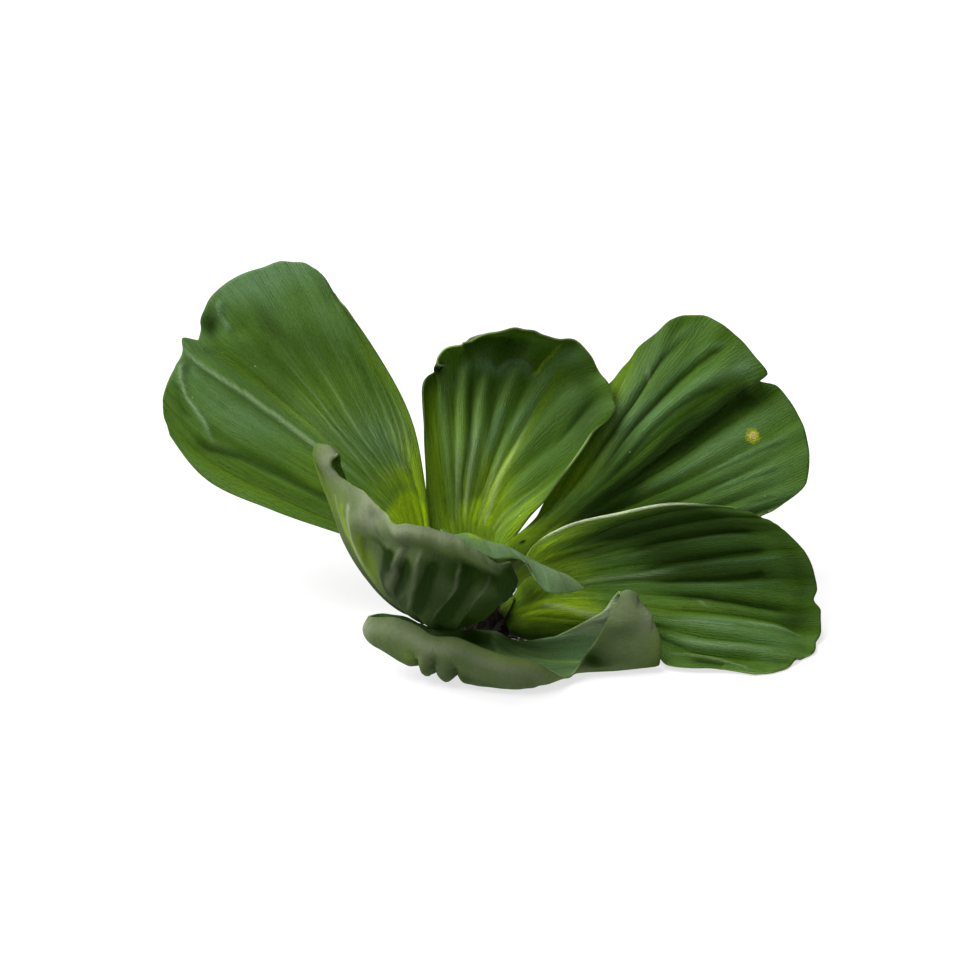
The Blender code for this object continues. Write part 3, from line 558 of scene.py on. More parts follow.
# Roots: the tuft's centre, radius and lobes are those of its solid. A lobe is a count, a size and a turn.
ROOTS_CENTRE = (8.0, 10.5)
ROOTS_RADIUS = 17.0
ROOTS_LOBES = ((5, 0.05, 0.4), (9, 0.03, 1.9))
GOLDEN_TURN = 0.381966
ROOTS_SEED = 11
FIBRE_STEPS = 11
FIBRE_SIDES = 5

# Camera: it stands in front, at the height that the photograph was taken from
CAMERA_TILT = 24.0
CAMERA_DISTANCE = 0.9
CAMERA_TARGET = (0.0, 0.0, 0.056)
CAMERA_LENS = 110.6
CAMERA_SENSOR = 36.0
CAMERA_REACH = 50.0

# The way each light travels, and how wide it is: the key light from above, from the left and a little
# from behind, and the fill light from the left
KEY_DIRECTION = (0.5, -0.08, -0.86)
KEY_WIDTH = 60
FILL_DIRECTION = (0.85, 0.35, -0.35)
FILL_WIDTH = 90
ROOM_COLOUR = (0.97, 0.98, 1.0, 1.0)


# ---------------------------------------------------------------- settings

class LeafSettings(bpy.types.PropertyGroup):
    """Sizes and colours of the leaves."""

    foot_thickness: FloatProperty(
        name="Foot Thickness", description="Thickness of a leaf at its foot",
        default=0.0024, min=0.0005, max=0.005, unit="LENGTH")
    rim_thickness: FloatProperty(
        name="Rim Thickness", description="Thickness of a leaf at its rim",
        default=0.0007, min=0.0002, max=0.003, unit="LENGTH")
    pleat_scale: FloatProperty(
        name="Pleat Scale", description="Height of all pleats and folds against their usual height",
        default=1.0, min=0.0, max=2.0, subtype="FACTOR")
    upper: FloatVectorProperty(
        name="Upper Side", description="Green of a grown leaf's upper side",
        default=(0.066, 0.140, 0.018), min=0.0, max=1.0, subtype="COLOR")
    # Valleys are painted darker, as painted shade of the pleats; the random mottling uses this green too
    valley: FloatVectorProperty(
        name="Valleys", description="Green in the valleys between the pleats",
        default=(0.042, 0.100, 0.003), min=0.0, max=1.0, subtype="COLOR")
    # Painted shade: the dark green laid where shade falls, in hollows, creases, under overhangs and in cast
    # shadows; it also darkens the fine grain
    shade: FloatVectorProperty(
        name="Dark Patches", description="Dark green of the deepest patches",
        default=(0.008, 0.021, 0.001), min=0.0, max=1.0, subtype="COLOR")
    # The bluish bloom also stands for painted sheen and highlights on the crests, and for painted light on
    # places that lie in shade
    bloom_and_highlight: FloatVectorProperty(
        name="Bloom", description="Bluish bloom on crests and towards the rim",
        default=(0.105, 0.195, 0.080), min=0.0, max=1.0, subtype="COLOR")
    # Colour of the pale lines and marks: a few are marks of the leaf, most are painted highlights along
    # raised folds, ribs and margins
    line: FloatVectorProperty(
        name="Lines", description="Misty colour of the raised folds and ribs",
        default=(0.500, 0.570, 0.360), min=0.0, max=1.0, subtype="COLOR")
    young: FloatVectorProperty(
        name="Young Leaves", description="Blue-green of the young leaves",
        default=(0.150, 0.260, 0.105), min=0.0, max=1.0, subtype="COLOR")
    # The yellow-green base is partly the leaf's own colour and partly painted glow of light shining
    # through; the lime patches use it too, partly as painted light
    glow: FloatVectorProperty(
        name="Base", description="Yellow-green near the foot, where the light shines through",
        default=(0.220, 0.350, 0.004), min=0.0, max=1.0, subtype="COLOR")
    underside: FloatVectorProperty(
        name="Underside", description="Paler green of the underside",
        default=(0.120, 0.155, 0.070), min=0.0, max=1.0, subtype="COLOR")
    # On the underside the collar colour also takes the bloom, the painted highlights and the pale lines
    collar: FloatVectorProperty(
        name="Collar", description="Greyish violet green of the underside near the rim",
        default=(0.300, 0.330, 0.220), min=0.0, max=1.0, subtype="COLOR")
    margin: FloatVectorProperty(
        name="Margin", description="Pale green of the thin margin and of the veins",
        default=(0.220, 0.320, 0.095), min=0.0, max=1.0, subtype="COLOR")


class CrownSettings(bpy.types.PropertyGroup):
    """Size and colours of the crown and the roots."""

    scales: IntProperty(
        name="Scales", description="Number of dry scales round the crown", default=26, min=0, max=80)
    fibres: IntProperty(
        name="Root Fibres", description="Number of root fibres in the tuft", default=420, min=20, max=2000)
    fibre_thickness: FloatProperty(
        name="Fibre Thickness", description="Diameter of a root fibre at its start",
        default=0.0006, min=0.0001, max=0.003, unit="LENGTH")
    crown: FloatVectorProperty(
        name="Crown", description="Brown of the crown", default=(0.018, 0.013, 0.006),
        min=0.0, max=1.0, subtype="COLOR")
    root: FloatVectorProperty(
        name="Roots", description="Brown of the root fibres", default=(0.026, 0.016, 0.008),
        min=0.0, max=1.0, subtype="COLOR")


class StageSettings(bpy.types.PropertyGroup):
    """Floor and light."""

    floor_size: FloatProperty(
        name="Floor Size", description="Width of the floor", default=16.0, min=1.0, unit="LENGTH")
    floor: FloatVectorProperty(
        name="Floor", description="Colour of the floor", default=(0.27, 0.27, 0.27),
        min=0.0, max=1.0, subtype="COLOR")
    floor_light: FloatProperty(
        name="Floor Light", description="Light that the floor gives off by itself", default=0.69, min=0.0)
    key_strength: FloatProperty(
        name="Key Light", description="Strength of the soft light from above",
        default=6.0, min=0.0)
    fill_strength: FloatProperty(
        name="Fill Light", description="Strength of the soft light from the left",
        default=0.9, min=0.0)
    room_strength: FloatProperty(
        name="Room Light", description="Strength of the even light of the room", default=0.22, min=0.0)


# ---------------------------------------------------------------- leaf surface

def in_shares(values):
    """Numbers given in per cent, as shares of one."""
    return np.asarray(values, float) / 100


def sheet_index(place):
    """Column and row of the sheet's point that is nearest to a place in per cent."""
    across, along = in_shares(place)
    return int(round((across + 1) / 2 * COLUMNS)), int(round(along * ROWS))


def curve_through(knots, points, at):
    """Points on a smooth curve that passes through the given points at the given knots."""
    knots = np.asarray(knots, float)
    points = np.asarray(points, float)
    at = np.asarray(at, float)
    step = np.diff(knots)
    secant = np.diff(points, axis=0) / step.reshape((-1,) + (1,) * (points.ndim - 1))
    slope = np.empty_like(points)
    slope[0], slope[-1] = secant[0], secant[-1]
    for i in range(1, len(knots) - 1):
        slope[i] = (secant[i - 1] * step[i] + secant[i] * step[i - 1]) / (step[i] + step[i - 1])
        steepest = 2 * np.minimum(abs(secant[i - 1]), abs(secant[i]))
        slope[i] = np.clip(slope[i], -steepest, steepest)
    if len(knots) > 2:
        slope[0] = 1.5 * secant[0] - 0.5 * slope[1]
        slope[-1] = 1.5 * secant[-1] - 0.5 * slope[-2]
    i = np.clip(np.searchsorted(knots, at, side="right") - 1, 0, len(knots) - 2)
    h = step[i]
    u = ((at - knots[i]) / h).reshape((-1,) + (1,) * (points.ndim - 1))
    h = h.reshape(u.shape)
    return ((2 * u**3 - 3 * u**2 + 1) * points[i] + (u**3 - 2 * u**2 + u) * h * slope[i]
            + (3 * u**2 - 2 * u**3) * points[i + 1] + (u**3 - u**2) * h * slope[i + 1])


def share_of_length(points):
    """How far along a chain each point lies, from 0 to 1."""
    lengths = np.linalg.norm(np.diff(points, axis=0), axis=1)
    distance = np.concatenate(([0.0], np.cumsum(lengths)))
    return distance / distance[-1]


def soft_step(value, low, high):
    """0 below low, 1 above high and a smooth rise between them."""
    x = np.clip((np.asarray(value, float) - low) / (high - low), 0, 1)
    return x * x * (3 - 2 * x)


def leaf_sheet(leaf):
    """Points of a leaf's middle sheet, in millimetres, as an array [across, along, xyz]."""
    foot = np.array(leaf["foot"], float)
    rim = np.array(leaf["rim"], float)
    rim_places = share_of_length(rim) * 2 - 1
    places = sorted(leaf["ribs"])
    ribs = []
    for place in places:
        start = foot[0] + (foot[1] - foot[0]) * (place + 1) / 2
        end = curve_through(rim_places, rim, [place])[0]
        chain = np.array([start, *leaf["ribs"][place], end], float)
        ribs.append(curve_through(share_of_length(chain), chain, ALONG))
    sheet = curve_through(places, np.array(ribs), ACROSS)
    off_rim = curve_through(rim_places, rim, ACROSS) - sheet[:, -1]
    pull = np.clip((ALONG - RIM_PULL_START) / (1 - RIM_PULL_START), 0, 1) ** 2
    return sheet + off_rim[:, None] * pull[None, :, None]


def sheet_normals(sheet):
    """Unit normals of a sheet, on its upper side, and millimetres for each unit across."""
    d_across = np.gradient(sheet, ACROSS, axis=0)
    d_along = np.gradient(sheet, ALONG, axis=1)
    normal = np.cross(d_across, d_along)
    for _ in range(NORMAL_SMOOTHINGS):
        normal[1:-1] = (normal[:-2] + 2 * normal[1:-1] + normal[2:]) / 4
        normal[:, 1:-1] = (normal[:, :-2] + 2 * normal[:, 1:-1] + normal[:, 2:]) / 4
    normal = normal / np.maximum(np.linalg.norm(normal, axis=2, keepdims=True), 1e-9)
    return normal, np.linalg.norm(d_across, axis=2)


def pleats(surface, millimetres):
    """Pleat phase, height between 0 in a groove and 1 on a crest, and pleat width in millimetres."""
    places = curve_through(GROOVE_LEVELS, in_shares(surface["grooves"]).T, ALONG)
    beyond = np.full((len(ALONG), 1), OUTER_GROOVE)
    places = np.hstack([-beyond, places, beyond])
    phase = np.empty((len(ACROSS), len(ALONG)))
    width = np.empty_like(phase)
    count = places.shape[1]
    for j, row in enumerate(places):
        row = np.maximum.accumulate(row + np.arange(count) * 1e-4)
        phase[:, j] = np.interp(ACROSS, row, np.arange(count))
        width[:, j] = np.interp(ACROSS, row, np.gradient(row)) * millimetres[:, j]
    lean = np.mod(phase, 1.0) ** surface["lean"]
    crest = np.abs(np.sin(math.pi * lean)) ** (2 * surface["crest"])
    return phase / (count - 1), crest, width


def distance_to_line(sheet, line):
    """Distance in millimetres from every point of a sheet to a line drawn on it, and how far along the
    line its nearest place is, from 0 to 1."""
    line = in_shares(line)
    drawn = curve_through(share_of_length(line), line, np.linspace(0, 1, 6 * len(line)))
    i = np.interp(drawn[:, 0], ACROSS, np.arange(len(ACROSS))).round().astype(int)
    j = np.interp(drawn[:, 1], ALONG, np.arange(len(ALONG))).round().astype(int)
    points = sheet[i, j]
    nearest = np.full(sheet.shape[:2], np.inf)
    passed = np.zeros(sheet.shape[:2])
    for k, (start, end) in enumerate(zip(points[:-1], points[1:])):
        way = end - start
        share = np.clip(((sheet - start) @ way) / max(float(way @ way), 1e-9), 0, 1)
        gap = np.linalg.norm(sheet - start - share[..., None] * way, axis=2)
        passed = np.where(gap < nearest, (k + share) / (len(points) - 1), passed)
        nearest = np.minimum(nearest, gap)
    return nearest, passed


def draw_lines(surface, sheet, values):
    """Height of a leaf's lines in millimetres. Their tints are added to the values."""
    relief = np.zeros(sheet.shape[:2])
    for height, half_width, tint, strength, *line in surface["lines"]:
        gap, passed = distance_to_line(sheet, line)
        near = np.exp(-(gap / half_width) ** 2) * soft_step(passed, -0.02, 0.1)
        near *= 1 - soft_step(passed, 0.6, 1.0)
        relief += height * near
        if tint:
            values[tint] += strength * near
    return relief


def waves_and_ripples(name):
    """Height in millimetres of slow uneven waves over a leaf and of fine ripples near its rim."""
    seed = sorted(SURFACES).index(name)
    rng = np.random.default_rng(seed)
    waves = np.zeros((len(ACROSS), len(ALONG)))
    for _ in range(WAVE_COUNT):
        turn = rng.uniform(0, math.tau)
        size = WAVE_PITCH * rng.uniform(0.5, 1.6)
        shift = rng.uniform(0, math.tau)
        waves += np.sin(size * (math.cos(turn) * ACROSS[:, None] + math.sin(turn) * ALONG) + shift)
    waves *= WAVE_HEIGHT / math.sqrt(WAVE_COUNT) * soft_step(ALONG, 0.1, 0.4)
    ripples = np.sin(RIPPLES * ACROSS + 2 * np.sin(RIPPLE_SWAYS * ACROSS + seed))
    ripples = ripples[:, None] * soft_step(ALONG, 0.8, 1.0)
    return waves + ripples * (YOUNG_RIM_RIPPLE if name in YOUNG_LEAVES else RIM_RIPPLE)


def lay_patches(surface, values):
    """Add a leaf's soft patches of colour to the values."""
    for tint, patches in surface["patches"].items():
        for *places, strength in patches:
            across, along, half_across, half_along = in_shares(places)
            values[tint] += strength * np.exp(-((ACROSS[:, None] - across) / half_across) ** 2
                                              - ((ALONG - along) / half_along) ** 2)


def shaped_leaf(name, scale):
    """A leaf's finished middle sheet in millimetres, its pleat phase and the values its materials read."""
    surface = {**USUAL_SURFACE, **SURFACES[name]}
    sheet = leaf_sheet(LEAVES[name])
    normal, millimetres = sheet_normals(sheet)
    phase, crest, width = pleats(surface, millimetres)
    reach = soft_step(ALONG, *in_shares(surface["reach"]))
    reach *= 1 - PLEAT_FADE * soft_step(ALONG, *in_shares(surface["fade"]))
    flat_end = 1 - soft_step(ACROSS, *in_shares(surface["flat_end"]))[:, None]
    values = {tint: np.zeros_like(crest) for tint in TINTS}
    relief = surface["depth"] * np.minimum(width, WIDEST_PLEAT) * (crest - 0.5) * reach * flat_end
    relief += draw_lines(surface, sheet, values)
    for *place, radius, depth in surface["dents"]:
        gap = np.linalg.norm(sheet - sheet[sheet_index(place)], axis=2)
        relief -= depth * np.exp(-(gap / radius) ** 2)
    relief += waves_and_ripples(name)
    sheet = sheet + normal * (relief * scale)[..., None]
    sheet[..., 2] = np.maximum(sheet[..., 2], GROUND_CLEARANCE)
    lay_patches(surface, values)
    values = {tint: np.clip(value, 0, STRONGEST_TINT) for tint, value in values.items()}
    end, softness = in_shares(surface["base"][:2])
    base = surface["base"][2] * (1 - soft_step(ALONG, end - softness, end + softness))
    values["base"] = np.broadcast_to(base, crest.shape)
    values["rib"] = (1 - crest) ** 3 * reach
    # How much lighter a crest is painted than its valley, as painted light and shade of the pleats
    values["crest"] = 0.5 + (crest - 0.5) * surface["contrast"]
    return sheet, phase, values


# ---------------------------------------------------------------- mesh

def link_piece(name, mesh, node):
    """Add a mesh as a piece that stands for a node of the solid model."""
    piece = bpy.data.objects.new(name, mesh)
    bpy.context.scene.collection.objects.link(piece)
    mesh.shade_smooth()
    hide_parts(node)
    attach(piece, "root")
    return piece


def grid_mesh(name, x_segments, y_segments, size):
    """A flat square grid."""
    bm = bmesh.new()
    bmesh.ops.create_grid(bm, x_segments=x_segments, y_segments=y_segments, size=size)
    mesh = bpy.data.meshes.new(name)
    bm.to_mesh(mesh)
    bm.free()
    return mesh


def vertex_places(mesh):
    """The places of a mesh's vertices, as an array [vertex, xyz]."""
    flat = np.empty(len(mesh.vertices) * 3)
    mesh.vertices.foreach_get("co", flat)
    return flat.reshape(-1, 3)


def add_values(mesh, name, values):
    """Keep one number for each vertex, for the materials to read."""
    mesh.attributes.new(name, "FLOAT", "POINT").data.foreach_set("value", values)


def leaf_mesh(name, scale):
    """A leaf's sheet as a mesh, with its map and its material values, and each vertex's column and row."""
    sheet, phase, values = shaped_leaf(name, scale)
    mesh = grid_mesh(name, COLUMNS, ROWS, 1.0)
    flat = vertex_places(mesh)
    column = ((flat[:, 0] + 1) / 2 * COLUMNS).round().astype(int)
    row = ((flat[:, 1] + 1) / 2 * ROWS).round().astype(int)
    mesh.vertices.foreach_set("co", (sheet[column, row] * MM).ravel())
    for key, value in values.items():
        add_values(mesh, key, value[column, row])
    corner = np.empty(len(mesh.loops), int)
    mesh.loops.foreach_get("vertex_index", corner)
    place = np.stack([phase[column, row], ALONG[row]], axis=1)
    mesh.uv_layers.new(name="blade").data.foreach_set("uv", place[corner].ravel())
    mesh.update()
    return mesh, column, row


def mark_damage(mesh):
    """Write how near each point lies to the damaged spot, 1 at its middle."""
    middle = leaf_sheet(LEAVES[DAMAGED_LEAF])[sheet_index(DAMAGE_PLACE)]
    gap = np.linalg.norm(vertex_places(mesh) - middle * MM, axis=1)
    add_values(mesh, "damage", np.clip(1 - gap / (DAMAGE_RADIUS * MM), 0, 1))


def thicken(piece, column, row, settings):
    """Give a leaf its thickness, which falls from the foot to the rim and to both side edges."""
    group = piece.vertex_groups.new(name="thick")
    sideways = np.abs(column / COLUMNS * 2 - 1)
    thick = (1 - row / ROWS) ** 1.2 * (1 - 0.85 * sideways ** 8)
    levels = (thick * THICKNESS_LEVELS).round().astype(int)
    for level in range(THICKNESS_LEVELS + 1):
        group.add(np.flatnonzero(levels == level).tolist(), level / THICKNESS_LEVELS, "REPLACE")
    solidify = piece.modifiers.new("thickness", "SOLIDIFY")
    solidify.thickness = settings.foot_thickness
    solidify.offset = 0.0
    solidify.vertex_group = "thick"
    solidify.thickness_vertex_group = settings.rim_thickness / settings.foot_thickness
    solidify.material_offset = 1
    solidify.material_offset_rim = 2


def ring_faces(rings, sides):
    """Faces of a closed stack of rings: round it, below it and above it."""
    faces = []
    for j in range(rings - 1):
        for i in range(sides):
            k = (i + 1) % sides
            faces.append((j * sides + i, j * sides + k, (j + 1) * sides + k, (j + 1) * sides + i))
    faces.append(tuple(range(sides))[::-1])
    faces.append(tuple((rings - 1) * sides + i for i in range(sides)))
    return faces


def tube(points, radii, sides):
    """Vertices and faces of a tapering tube that follows the points."""
    way = np.gradient(points, axis=0)
    way /= np.maximum(np.linalg.norm(way, axis=1, keepdims=True), 1e-12)
    side = np.cross(way, (0.31, 0.17, 0.93))
    side /= np.maximum(np.linalg.norm(side, axis=1, keepdims=True), 1e-12)
    other = np.cross(way, side)
    turn = np.linspace(0, math.tau, sides, endpoint=False)
    ring = np.cos(turn)[None, :, None] * side[:, None] + np.sin(turn)[None, :, None] * other[:, None]
    verts = (points[:, None] + ring * radii[:, None, None]).reshape(-1, 3)
    return verts, ring_faces(len(points), sides)


def joined_mesh(name, parts):
    """One mesh from a list of (vertices, faces)."""
    verts, faces, start = [], [], 0
    for some_verts, some_faces in parts:
        verts.append(some_verts)
        faces.extend(tuple(i + start for i in face) for face in some_faces)
        start += len(some_verts)
    mesh = bpy.data.meshes.new(name)
    mesh.from_pydata(np.concatenate(verts).tolist(), [], faces)
    mesh.update()
    return mesh


# ---------------------------------------------------------------- materials

class Recipe:
    """Builds the nodes of one material."""

    def __init__(self, name):
        self.material = bpy.data.materials.new(name)
        self.material.use_nodes = True
        self.tree = self.material.node_tree
        self.shader = self.tree.nodes["Principled BSDF"]
        self.output = self.tree.nodes["Material Output"]

    def put(self, socket, value):
        """Set a socket to a number or colour, or link it to another socket."""
        if isinstance(value, bpy.types.NodeSocket):
            self.tree.links.new(value, socket)
        elif hasattr(value, "__len__"):
            value = tuple(value)
            socket.default_value = (*value[:3], 1.0) if len(socket.default_value) == 4 else value
        else:
            socket.default_value = value

    def node(self, kind, **settings):
        """A new node with some of its own settings."""
        node = self.tree.nodes.new(kind)
        for key, value in settings.items():
            setattr(node, key, value)
        return node

    def math(self, operation, first, second=0.0):
        """One step of arithmetic."""
        node = self.node("ShaderNodeMath", operation=operation)
        self.put(node.inputs[0], first)
        self.put(node.inputs[1], second)
        return node.outputs[0]

    def plus(self, first, second):
        """The sum of two values."""
        return self.math("ADD", first, second)

    def times(self, first, second):
        """The product of two values."""
        return self.math("MULTIPLY", first, second)

    def spread(self, value, low, high, to_low=0.0, to_high=1.0):
        """Map a value from one range to another, held within the second."""
        node = self.node("ShaderNodeMapRange", clamp=True)
        for socket, number in zip(node.inputs, (value, low, high, to_low, to_high)):
            self.put(socket, number)
        return node.outputs[0]

    def blend(self, factor, first, second, mode="MIX"):
        """Two colours mixed: the first at a factor of 0, the second at 1."""
        node = self.node("ShaderNodeMix", data_type="RGBA", blend_type=mode)
        node.clamp_factor = True
        self.put(node.inputs[0], factor)
        self.put(node.inputs[6], first)
        self.put(node.inputs[7], second)
        return node.outputs[2]

    def attribute(self, name):
        """A number kept for each vertex."""
        return self.node("ShaderNodeAttribute", attribute_name=name).outputs["Fac"]

    def leaf_map(self, across, along, shift=0.0):
        """Leaf coordinates, stretched by a factor across and one along, and shifted."""
        place = self.node("ShaderNodeUVMap", uv_map="blade")
        scale = self.node("ShaderNodeVectorMath", operation="MULTIPLY_ADD")
        self.put(scale.inputs[0], place.outputs[0])
        scale.inputs[1].default_value = (across, along, 1.0)
        scale.inputs[2].default_value = (shift, shift, shift)
        return scale.outputs[0]

    def leaf_axis(self, axis, factor=1.0):
        """One leaf coordinate, 0 for across and 1 for along, times a factor."""
        split = self.node("ShaderNodeSeparateXYZ")
        self.put(split.inputs[0], self.leaf_map(factor, factor))
        return split.outputs[axis]

    def object_map(self):
        """Coordinates in metres."""
        return self.node("ShaderNodeTexCoord").outputs["Object"]

    def noise(self, vector, scale, detail, roughness=0.5):
        """Soft noise around 0.5."""
        node = self.node("ShaderNodeTexNoise")
        self.put(node.inputs["Vector"], vector)
        for key, value in (("Scale", scale), ("Detail", detail), ("Roughness", roughness)):
            node.inputs[key].default_value = value
        return node.outputs["Fac"]

    def body_noise(self, scale, detail, roughness=0.5):
        """Noise that is as fine in all directions."""
        return self.noise(self.object_map(), scale, detail, roughness)

    def leaf_noise(self, across, along, detail, roughness=0.5, shift=0.0):
        """Noise laid out on a leaf, with its own fineness across and along."""
        return self.noise(self.leaf_map(across, along, shift), 1.0, detail, roughness)

    def spots(self, scale, size):
        """Small round spots, 1 inside and 0 outside, in some of the cells of a loose pattern."""
        cells = self.node("ShaderNodeTexVoronoi")
        self.put(cells.inputs["Vector"], self.object_map())
        cells.inputs["Scale"].default_value = scale
        lot = self.math("FRACT", self.times(cells.outputs["Color"], 7.31))
        inside = self.spread(cells.outputs["Distance"], size, size * 0.5)
        return self.times(inside, self.math("GREATER_THAN", lot, 0.85))

    def bump(self, height, distance):
        """A normal that is tilted by a height."""
        node = self.node("ShaderNodeBump")
        node.inputs["Strength"].default_value = 1.0
        node.inputs["Distance"].default_value = distance
        self.put(node.inputs["Height"], height)
        return node.outputs[0]

    def finish(self, colour, roughness, normal, **sockets):
        """Fill the shader's sockets. Values in sockets are the same all over."""
        self.put(self.shader.inputs["Base Color"], colour)
        self.put(self.shader.inputs["Roughness"], roughness)
        self.put(self.shader.inputs["Normal"], normal)
        for key, value in sockets.items():
            self.put(self.shader.inputs[key.replace("_", " ")], value)
        return self.material

    def let_light_through(self, share, colour, normal):
        """Mix in light that shines through the leaf."""
        through = self.node("ShaderNodeBsdfTranslucent")
        self.put(through.inputs["Color"], colour)
        self.put(through.inputs["Normal"], normal)
        mix = self.node("ShaderNodeMixShader")
        self.put(mix.inputs[0], share)
        self.tree.links.new(self.shader.outputs[0], mix.inputs[1])
        self.tree.links.new(through.outputs[0], mix.inputs[2])
        self.tree.links.new(mix.outputs[0], self.output.inputs["Surface"])


def darker(colour, share):
    """A colour with this share of its light."""
    return tuple(part * share for part in colour)


def vein_lines(recipe, count):
    """Fine veins that run along the pleats, 1 on a vein: two sets of lines that meet at small angles."""
    across = recipe.leaf_axis(0, count)
    veins = 0.0
    for shift in (0.0, 5.3):
        sway = recipe.leaf_noise(5.0, 3.0, 2.0, 0.4, shift)
        wriggle = recipe.leaf_noise(count * 0.3, 36.0, 1.0, shift=shift)
        place = recipe.plus(across, recipe.times(sway, 5.0))
        place = recipe.plus(place, recipe.times(wriggle, 1.4))
        from_vein = recipe.math("ABSOLUTE", recipe.math("SUBTRACT", recipe.math("FRACT", place), 0.5))
        line = recipe.spread(from_vein, 0.0, 0.18, 1.0, 0.0)
        showing = recipe.leaf_noise(count * 0.7, 9.0, 2.0, shift=shift)
        veins = recipe.math("MAXIMUM", veins, recipe.times(line, recipe.spread(showing, 0.35, 0.65)))
    return veins


def tinted(recipe, colour, settings, bloom_and_highlight, bloom_and_highlight_amount, darkness=0.85):
    """Lay the yellow-green base and lime patches, which are partly painted glow, the bloom with its painted
    highlights, and the painted shade over a colour.
    """
    patch = recipe.body_noise(*BROAD_PATCHES)
    mottle = recipe.body_noise(*MOTTLE)
    colour = recipe.blend(recipe.spread(mottle, 0.4, 0.65, 0.0, 0.3), colour, settings.valley)
    bloom_and_highlight_amount = recipe.times(bloom_and_highlight_amount, recipe.spread(patch, 0.35, 0.65, 0.55, 1.0))
    colour = recipe.blend(bloom_and_highlight_amount, colour, bloom_and_highlight)
    colour = recipe.blend(recipe.times(recipe.attribute("lime_and_glow"), 0.85), colour, settings.glow)
    base = recipe.times(recipe.attribute("base"), recipe.spread(patch, 0.3, 0.6, 0.7, 1.0))
    colour = recipe.blend(base, colour, settings.glow)
    # Painted shade: dark green where shade falls in hollows, creases, under overhangs and in cast shadows
    return recipe.blend(recipe.times(recipe.attribute("painted_shade"), darkness), colour, settings.shade)


def upper_material(name, leaf_name, settings):
    """Velvety upper side: crests painted lighter and valleys darker as painted light and shade, bluish
    bloom and painted highlights on the crests, painted shade, fine veins, and a yellow-green base that is
    partly painted glow.
    """
    recipe = Recipe(name)
    young = leaf_name in YOUNG_LEAVES
    crest = recipe.attribute("crest")
    veins = vein_lines(recipe, YOUNG_VEINS if young else VEINS)
    green = settings.young if young else settings.upper
    valley = darker(settings.young, 0.6) if young else settings.valley
    # Painted light and shade of the pleats: crests lighter, valleys darker
    colour = recipe.blend(recipe.spread(crest, 0.05, 0.95), valley, green)
    # Bloom with a painted highlight along the crests
    bloom_and_highlight_amount = recipe.plus(recipe.attribute("bloom_and_highlight"), recipe.times(crest, 0.15))
    colour = tinted(recipe, colour, settings, settings.bloom_and_highlight, bloom_and_highlight_amount)
    streak = recipe.spread(recipe.leaf_noise(*LONG_STREAKS), 0.3, 0.7, 0.78, 1.25)
    colour = recipe.blend(recipe.spread(recipe.leaf_axis(1), 0.5, 0.95, 1.0, 0.4), colour,
                          recipe.blend(1.0, colour, streak, "MULTIPLY"))
    showing = recipe.plus(recipe.times(recipe.attribute("veins"), 0.25), 0.12)
    showing = recipe.times(showing, recipe.spread(recipe.attribute("painted_shade"), 0.0, 1.0, 1.0, 0.25))
    colour = recipe.blend(recipe.times(veins, showing), colour, settings.margin)
    # Pale lines and marks, most of them painted highlights along folds, ridges and margins
    colour = recipe.blend(recipe.attribute("pale_and_highlight"), colour, settings.line)
    colour = recipe.blend(recipe.times(recipe.spots(SPECK_CELLS, SPECK_SIZE), 0.6), colour, SPECK)
    if leaf_name == DAMAGED_LEAF:
        colour = damage(recipe, colour)
    grain = recipe.body_noise(*GRAIN)
    height = recipe.plus(recipe.times(veins, 0.3 if young else 0.8), recipe.times(grain, 0.6))
    normal = recipe.bump(height, 0.25 * MM)
    colour = recipe.blend(recipe.spread(grain, 0.3, 0.7, 0.0, 0.25), colour, settings.shade)
    recipe.finish(colour, recipe.spread(grain, 0.2, 0.8, 0.5, 0.7), normal, Specular_IOR_Level=0.04,
                  Sheen_Weight=0.01, Sheen_Roughness=0.4, Sheen_Tint=(0.6, 0.9, 0.6))
    recipe.let_light_through(0.22, recipe.blend(0.5, colour, SHINE_THROUGH), normal)
    return recipe.material


def damage(recipe, colour):
    """A small yellow spot with a pale, crusty middle."""
    rough = recipe.math("SUBTRACT", recipe.body_noise(*SPOT_EDGE), 0.5)
    ragged = recipe.plus(recipe.attribute("damage"), recipe.times(rough, 0.7))
    colour = recipe.blend(recipe.spread(ragged, 0.3, 0.65, 0.0, 0.9), colour, SPOT_YELLOW)
    crust = recipe.blend(recipe.spread(recipe.body_noise(*CRUST_GRAIN), 0.4, 0.6), CRUST_BROWN, CRUST_PALE)
    return recipe.blend(recipe.spread(ragged, 0.66, 0.78), colour, crust)


